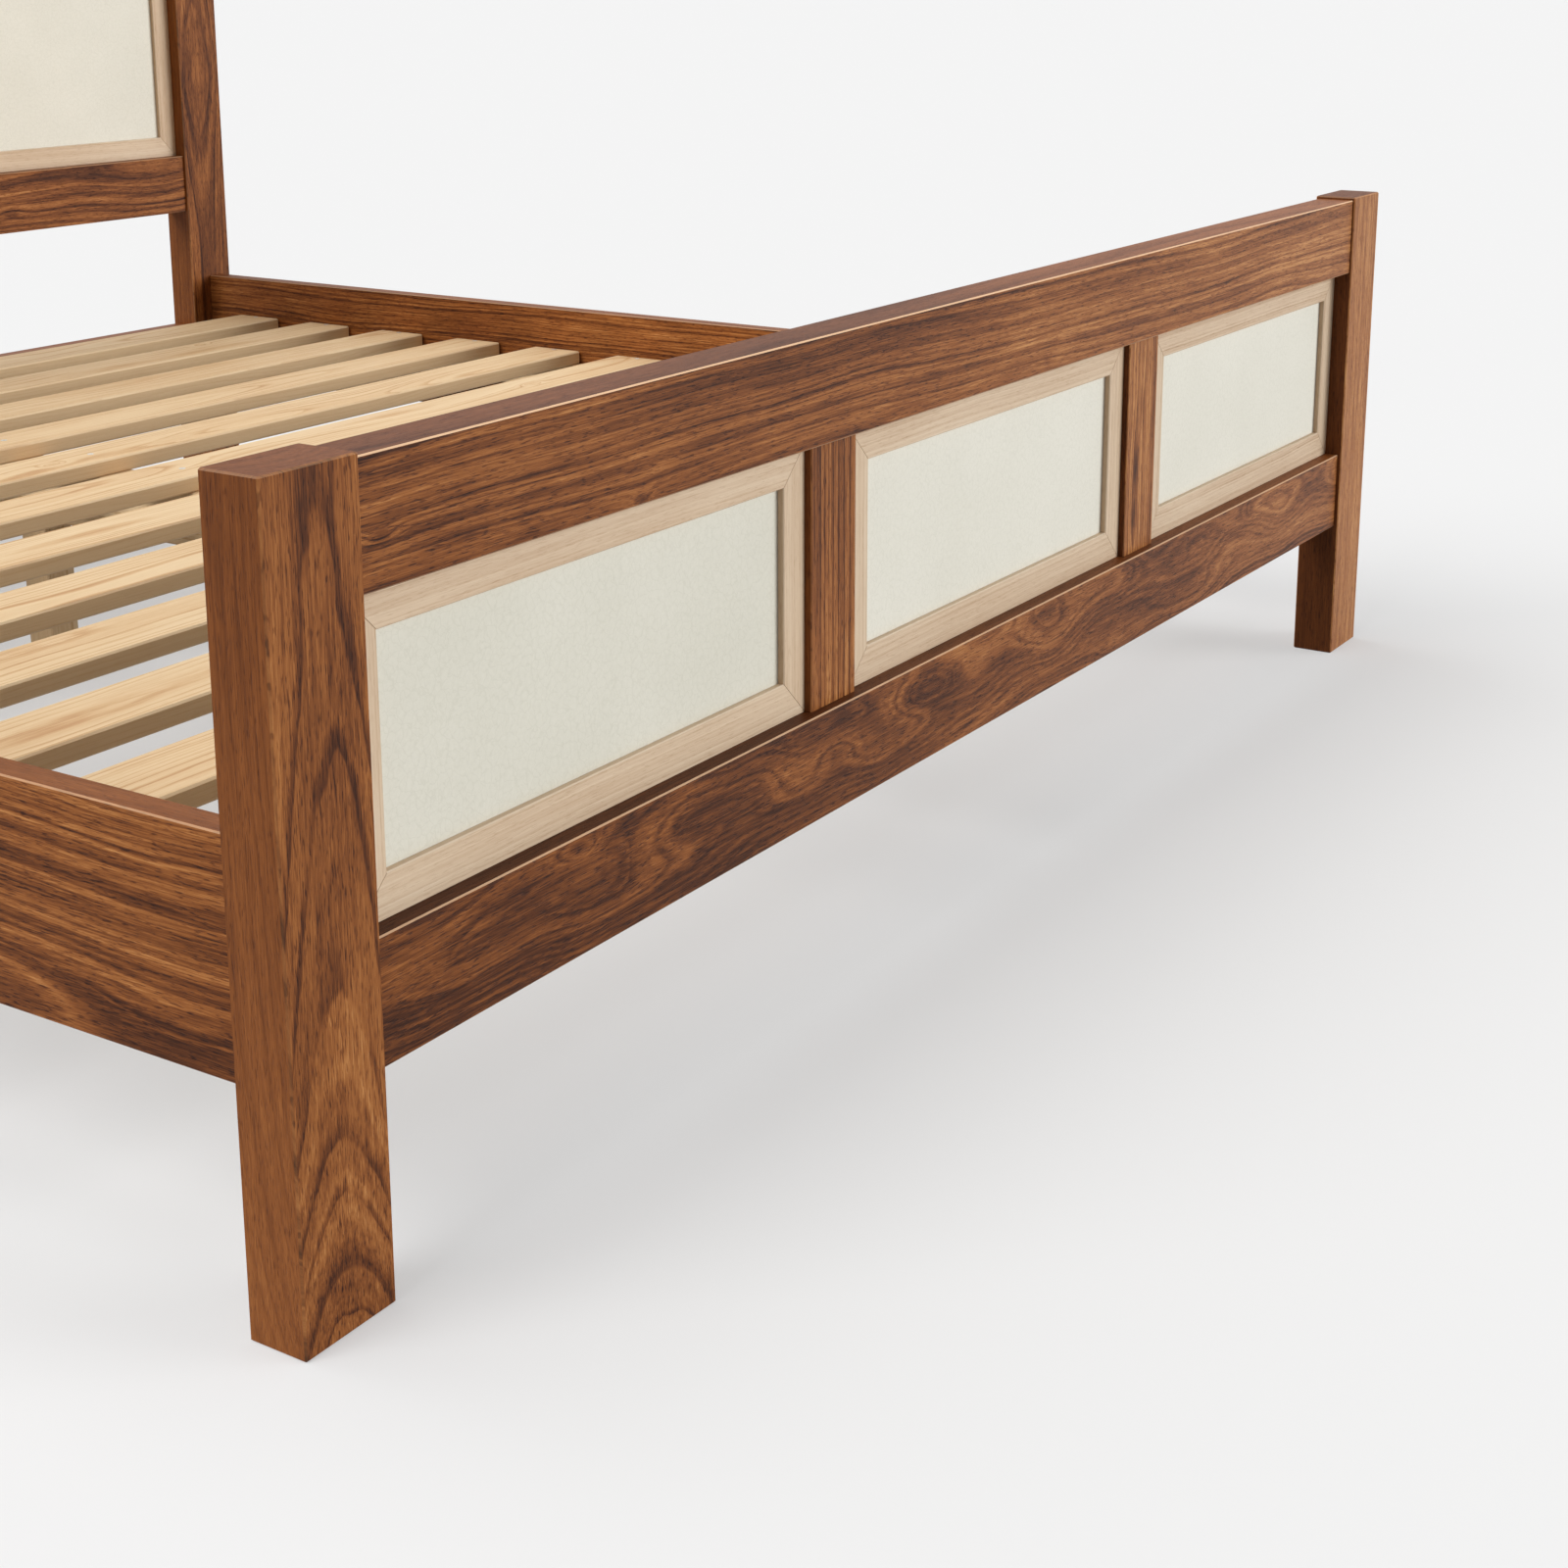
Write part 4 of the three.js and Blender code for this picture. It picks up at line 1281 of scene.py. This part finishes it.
@dataclass
class CornerFixings:
    """Steel angles in the inner corners, with their bolts and wood screws.

    The head's profile has shares of its radius and height, from its seat to its top. The
    spins turn each screw and bolt by its place, in radians to a metre.
    """

    screw_rise: float = 0.020
    screw_from_end: float = 0.020
    screw_spin: float = 40.0
    bolt_spin: float = 30.0
    steel: float = 0.003
    head_radius: float = 0.0075
    head_height: float = 0.0046
    head_profile: Profile = (
        (0.985, 0.0), (1.0, 0.12), (0.985, 0.34), (0.9, 0.64), (0.76, 0.86), (0.6, 0.97), (0.48, 1.0),
    )
    socket_radius: float = 0.0029
    socket_depth: float = 0.003
    socket_edge: float = 0.0002
    shank_radius: float = 0.004
    steps: int = 60
    crease: float = 40.0
    screw: ScrewHead = field(default_factory=ScrewHead)

    def build(self) -> None:
        """Dresses the angles and adds the bolts and screws of each."""
        for board, away in (("foot", 1.0), ("head", -1.0)):
            for side, inward in (("left", 1.0), ("right", -1.0)):
                corner = f"{board}_{side}"
                dress(f"rail_bracket_{corner}", COATED_STEEL.material())
                self.add_screws(corner, away, inward)
                for level in ("lower", "upper"):
                    self.add_bolt(f"{corner}_{level}", away)

    def add_screws(self, corner: str, away: float, inward: float) -> None:
        """Adds the two wood screws through a bracket into the side rail.

        Args:
            corner: which corner of the bed.
            away: 1 where the bracket reaches towards the head, and -1 towards the foot.
            inward: 1 where the bed lies towards +X, and -1 towards -X.
        """
        low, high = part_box(f"rail_bracket_{corner}")
        x = low.x + self.steel if inward > 0 else high.x - self.steel
        y = high.y - self.screw_from_end if away > 0 else low.y + self.screw_from_end
        middle = (low.z + high.z) / 2
        heights = (middle - self.screw_rise, middle + self.screw_rise)
        places = [facing((x, y, z), (inward, 0.0, 0.0), z * self.screw_spin) for z in heights]
        self.screw.row(f"bracket_screws_{corner}", places)

    def add_bolt(self, place: str, away: float) -> None:
        """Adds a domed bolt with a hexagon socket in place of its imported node.

        Args:
            place: which corner and level.
            away: 1 where the head faces the bed's head, and -1 where it faces the foot.
        """
        node = f"bracket_bolt_{place}"
        low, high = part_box(node)
        middle = (low + high) / 2
        tip = low.y if away > 0 else high.y
        length = high.y - low.y
        seat = length - self.head_height
        rings = [
            Ring(self.shank_radius * 0.8, 0.0),
            Ring(self.shank_radius, self.shank_radius * 0.25),
            Ring(self.shank_radius, seat),
        ]
        for width, rise in self.head_profile:
            rings.append(Ring(self.head_radius * width, seat + self.head_height * rise))
        rings += [
            Ring(self.socket_radius * 1.06, length, Outline.HEXAGON),
            Ring(self.socket_radius, length - self.socket_edge, Outline.HEXAGON),
            Ring(self.socket_radius, length - self.socket_depth, Outline.HEXAGON),
            Ring(self.socket_radius * 0.5, length - self.socket_depth * 1.12),
        ]
        stand = facing((middle.x, tip, middle.z), (0.0, away, 0.0), middle.z * self.bolt_spin)
        form = repeated(turned(rings, self.steps), [stand])
        name = f"socket_bolt_{place}"
        piece = add_piece(name, form, self.crease, Body.BED, ZINC_STEEL.material())
        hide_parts(node)


@dataclass
class CentreSupport:
    """Centre beam with its hangers, legs and screw feet.

    The pad's outline runs from the floor up and over into its bore: its edge as shares of
    its radius with heights, and its hub as radii with heights.
    """

    ear_inset: float = 0.014
    hole_spacing: float = 0.026
    screw_spin: float = 50.0
    steel: float = 0.0025
    saddle_floor: float = 0.0045
    pad_edge: Profile = (
        (0.84, 0.0012), (0.9, 0.0), (0.97, 0.0003), (1.0, 0.0014),
        (1.0, 0.0032), (0.975, 0.0044), (0.92, 0.005), (0.66, 0.0052),
    )
    pad_hub: Profile = (
        (0.0112, 0.0056), (0.0102, 0.0068), (0.0094, 0.0084),
        (0.0088, 0.009), (0.0052, 0.009), (0.0046, 0.0082),
    )
    pad_steps: int = 72
    pad_crease: float = 28.0
    stud_foot: float = 0.006
    stud_radius: float = 0.004
    stud_crease: float = 75.0
    thread_pitch: float = 0.00125
    thread_depth: float = 0.0006
    thread_steps: int = 32
    thread_rows: int = 6
    point_length: float = 0.0015
    point_share: float = 0.55
    screw: ScrewHead = field(default_factory=ScrewHead)

    def build(self) -> None:
        """Dresses the beam, hangers and legs and adds the screws and feet."""
        cut = Sawing(heart_across=0.02, heart_depth=0.06, wander=0.012, seed=60.0)
        PINE.dress_board("centre_beam", Run.SIDE, cut)
        for end, away, seed in (("foot", 1.0, 61.0), ("head", -1.0, 63.0)):
            dress(f"beam_hanger_{end}", COATED_STEEL.material())
            self.add_hanger_screws(end, away)
            cut = Sawing(heart_across=0.05, heart_depth=0.05, wander=0.006, seed=seed)
            PINE.dress_board(f"centre_leg_{end}", Run.UPRIGHT, cut)
        self.add_foot("foot", Body.FOOT_LEVELLER)
        self.add_foot("head", Body.HEAD_LEVELLER)

    def add_hanger_screws(self, end: str, away: float) -> None:
        """Adds the four screws through a hanger's ears.

        Args:
            end: foot or head.
            away: 1 where the ears face the bed's head, and -1 where they face its foot.
        """
        low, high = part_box(f"beam_hanger_{end}")
        y = low.y + self.steel if away > 0 else high.y - self.steel
        middle = (low.z + self.saddle_floor + high.z) / 2
        places = []
        for x in (low.x + self.ear_inset, high.x - self.ear_inset):
            for up in (-0.5, 0.5):
                z = middle + up * self.hole_spacing
                places.append(facing((x, y, z), (0.0, away, 0.0), x * self.screw_spin + up))
        self.screw.row(f"hanger_screws_{end}", places)

    def add_foot(self, end: str, body: Body) -> None:
        """Adds a screw foot: a moulded pad and a threaded stud.

        Args:
            end: foot or head.
            body: the body that it moves with.
        """
        node = f"levelling_foot_{end}"
        low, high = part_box(node)
        middle = (low + high) / 2
        radius = (high.x - low.x) / 2
        place = [Matrix.Translation((middle.x, middle.y, 0.0))]
        rings = [Ring(radius * share, height) for share, height in self.pad_edge]
        rings += [Ring(width, height) for width, height in self.pad_hub]
        pad = repeated(turned(rings, self.pad_steps), place)
        stud = repeated(self.thread_form(self.stud_foot, high.z), place)
        for name, form, crease, slot, finish in (
            ("pad", pad, self.pad_crease, Slot.PLASTIC, BLACK_PLASTIC),
            ("stud", stud, self.stud_crease, Slot.ZINC, ZINC_STEEL),
        ):
            piece = add_piece(f"levelling_{name}_{end}", form, crease, body, finish.material())
            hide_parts(node)

    def thread_form(self, bottom: float, top: float) -> Form:
        """Rod with a screw thread cut along its whole length.

        Args:
            bottom: height of its lower end.
            top: height of its upper end.

        Returns:
            The corners and the faces.
        """
        step = self.thread_pitch / self.thread_rows
        rows = []
        for number in range(int((top - bottom) / step) + 1):
            z = bottom + number * step
            taper = min(1.0, (top - z) / self.point_length + self.point_share)
            row = []
            for turn in range(self.thread_steps):
                phase = (z / self.thread_pitch - turn / self.thread_steps) % 1.0
                groove = 1 - abs(2 * phase - 1)
                radius = (self.stud_radius - self.thread_depth * groove) * taper
                row.append(round_point(radius, 2 * math.pi * turn / self.thread_steps, z))
            rows.append(row)
        return closed_round(rows)


FOOT_RAILS = ("top_rail", "bottom_rail")
HEAD_RAILS = ("top_rail", "middle_rail", "bottom_rail")

# The boards' tones grow lighter towards the far end of the footboard: partly the wood's own colour,
# partly painted light.
FOOT_SAWINGS = {
    "post_left": Sawing(
        heart_across=0.002, heart_depth=0.02, dip=0.06, crest=-0.008, reach=0.145, wander=0.007, seed=1.0,
        tone=0.08, tone_and_light_run=-0.26, arris=0.16, boldness=0.85, smoke=0.15, lines=1.35, ripple=0.004,
    ),
    "post_right": Sawing(
        -0.05, 0.04, wander=0.005, seed=2.0, tone=0.28, arris=0.16, boldness=0.4, side_shade=-0.45
    ),
    "mullion_left": Sawing(
        0.16, 0.02, wander=0.004, seed=3.0, tone=0.04, fineness=0.9, arris=0.2, boldness=1.2,
        side_shade=-0.1, smoke=0.4,
    ),
    "mullion_right": Sawing(
        -0.2, 0.03, wander=0.004, seed=4.0, tone=0.18, fineness=1.1, arris=0.2, side_shade=-0.3
    ),
    "top_rail": Sawing(
        -0.08, 0.03, 0.006, wander=0.014, seed=5.0, tone=0.1, tone_and_light_run=0.1, arris=1.0,
        side_shade=-0.15, boldness=0.88,
    ),
    "bottom_rail": Sawing(
        0.03, 0.035, 0.008, 0.01, crest=-0.3, wander=0.026, seed=6.0, tone=-0.155, tone_and_light_run=0.18,
        arris=0.75, wave=4.0, boldness=1.22, lines=0.6, smoke=1.0, ripple=0.004,
    ),
}

# Each eye has its place along and across, its reach and width, its lift and its dark core.
FOOT_EYES = {
    "mullion_right": (
        Eye(0.365, -0.012, 0.05, 0.015, 0.008, 0.55),
        Eye(0.31, -0.014, 0.035, 0.013, 0.006, 0.45),
        Eye(0.43, 0.002, 0.035, 0.012, 0.004, 0.25),
    ),
    "top_rail": (
        Eye(-0.91, -0.011, 0.02, 0.007, 0.006, 0.35),
        Eye(-0.62, -0.043, 0.016, 0.008, 0.006, 0.45),
        Eye(-0.36, 0.02, 0.6, 0.09, 0.0, 0.16),
    ),
    "bottom_rail": (
        Eye(-0.704, 0.036, 0.03, 0.012, 0.01, 0.02),
        Eye(-0.5, 0.02, 0.12, 0.028, 0.02, 0.04),
        Eye(-0.336, 0.008, 0.05, 0.02, 0.01, 0.1),
        Eye(-0.176, 0.02, 0.06, 0.018, 0.014, 0.14),
        Eye(0.232, -0.008, 0.09, 0.022, 0.014, 0.05),
        Eye(0.47, -0.006, 0.13, 0.014, 0.008, 0.2),
        Eye(0.6, 0.01, 0.1, 0.012, 0.006, 0.16),
    ),
}

HEAD_SAWINGS = {
    "post_left": Sawing(0.003, 0.035, 0.004, 0.02, crest=0.3, wander=0.006, seed=11.0),
    "post_right": Sawing(-0.004, 0.04, 0.004, 0.02, crest=0.7, wander=0.006, seed=12.0),
    "mullion_left": Sawing(0.18, 0.02, wander=0.004, seed=13.0),
    "mullion_right": Sawing(-0.17, 0.03, wander=0.004, seed=14.0),
    "top_rail": Sawing(-0.07, 0.03, -0.006, wander=0.014, seed=15.0),
    "middle_rail": Sawing(0.05, 0.03, 0.006, 0.01, crest=0.4, wander=0.018, seed=16.0),
    "bottom_rail": Sawing(-0.04, 0.035, 0.006, 0.01, crest=-0.2, wander=0.018, seed=17.0),
}

HEAD_EYES = {
    "top_rail": (Eye(0.42, 0.012, 0.03, 0.011, 0.006), Eye(-0.66, -0.02, 0.02, 0.008, 0.005)),
    "middle_rail": (Eye(-0.3, 0.02, 0.03, 0.012, 0.007), Eye(0.55, -0.015, 0.03, 0.012, 0.006)),
    "bottom_rail": (Eye(0.1, 0.01, 0.03, 0.012, 0.006),),
}


def main() -> None:
    """Builds the studio and every sub-assembly in order."""
    logging.basicConfig(level=logging.INFO, format="%(message)s")
    assemblies = (
        Studio(),
        PanelBoard("foot", FOOT_RAILS, FOOT_SAWINGS, FOOT_EYES, 70.0),
        PanelBoard("head", HEAD_RAILS, HEAD_SAWINGS, HEAD_EYES, 80.0, panel_tones_and_shade=(0.3, 0.4, 0.35)),
        SideRails(),
        Deck(),
        CornerFixings(),
        CentreSupport(),
    )
    for assembly in assemblies:
        log.info("building %s", type(assembly).__name__)
        assembly.build()


if __name__ == "__main__":
    main()
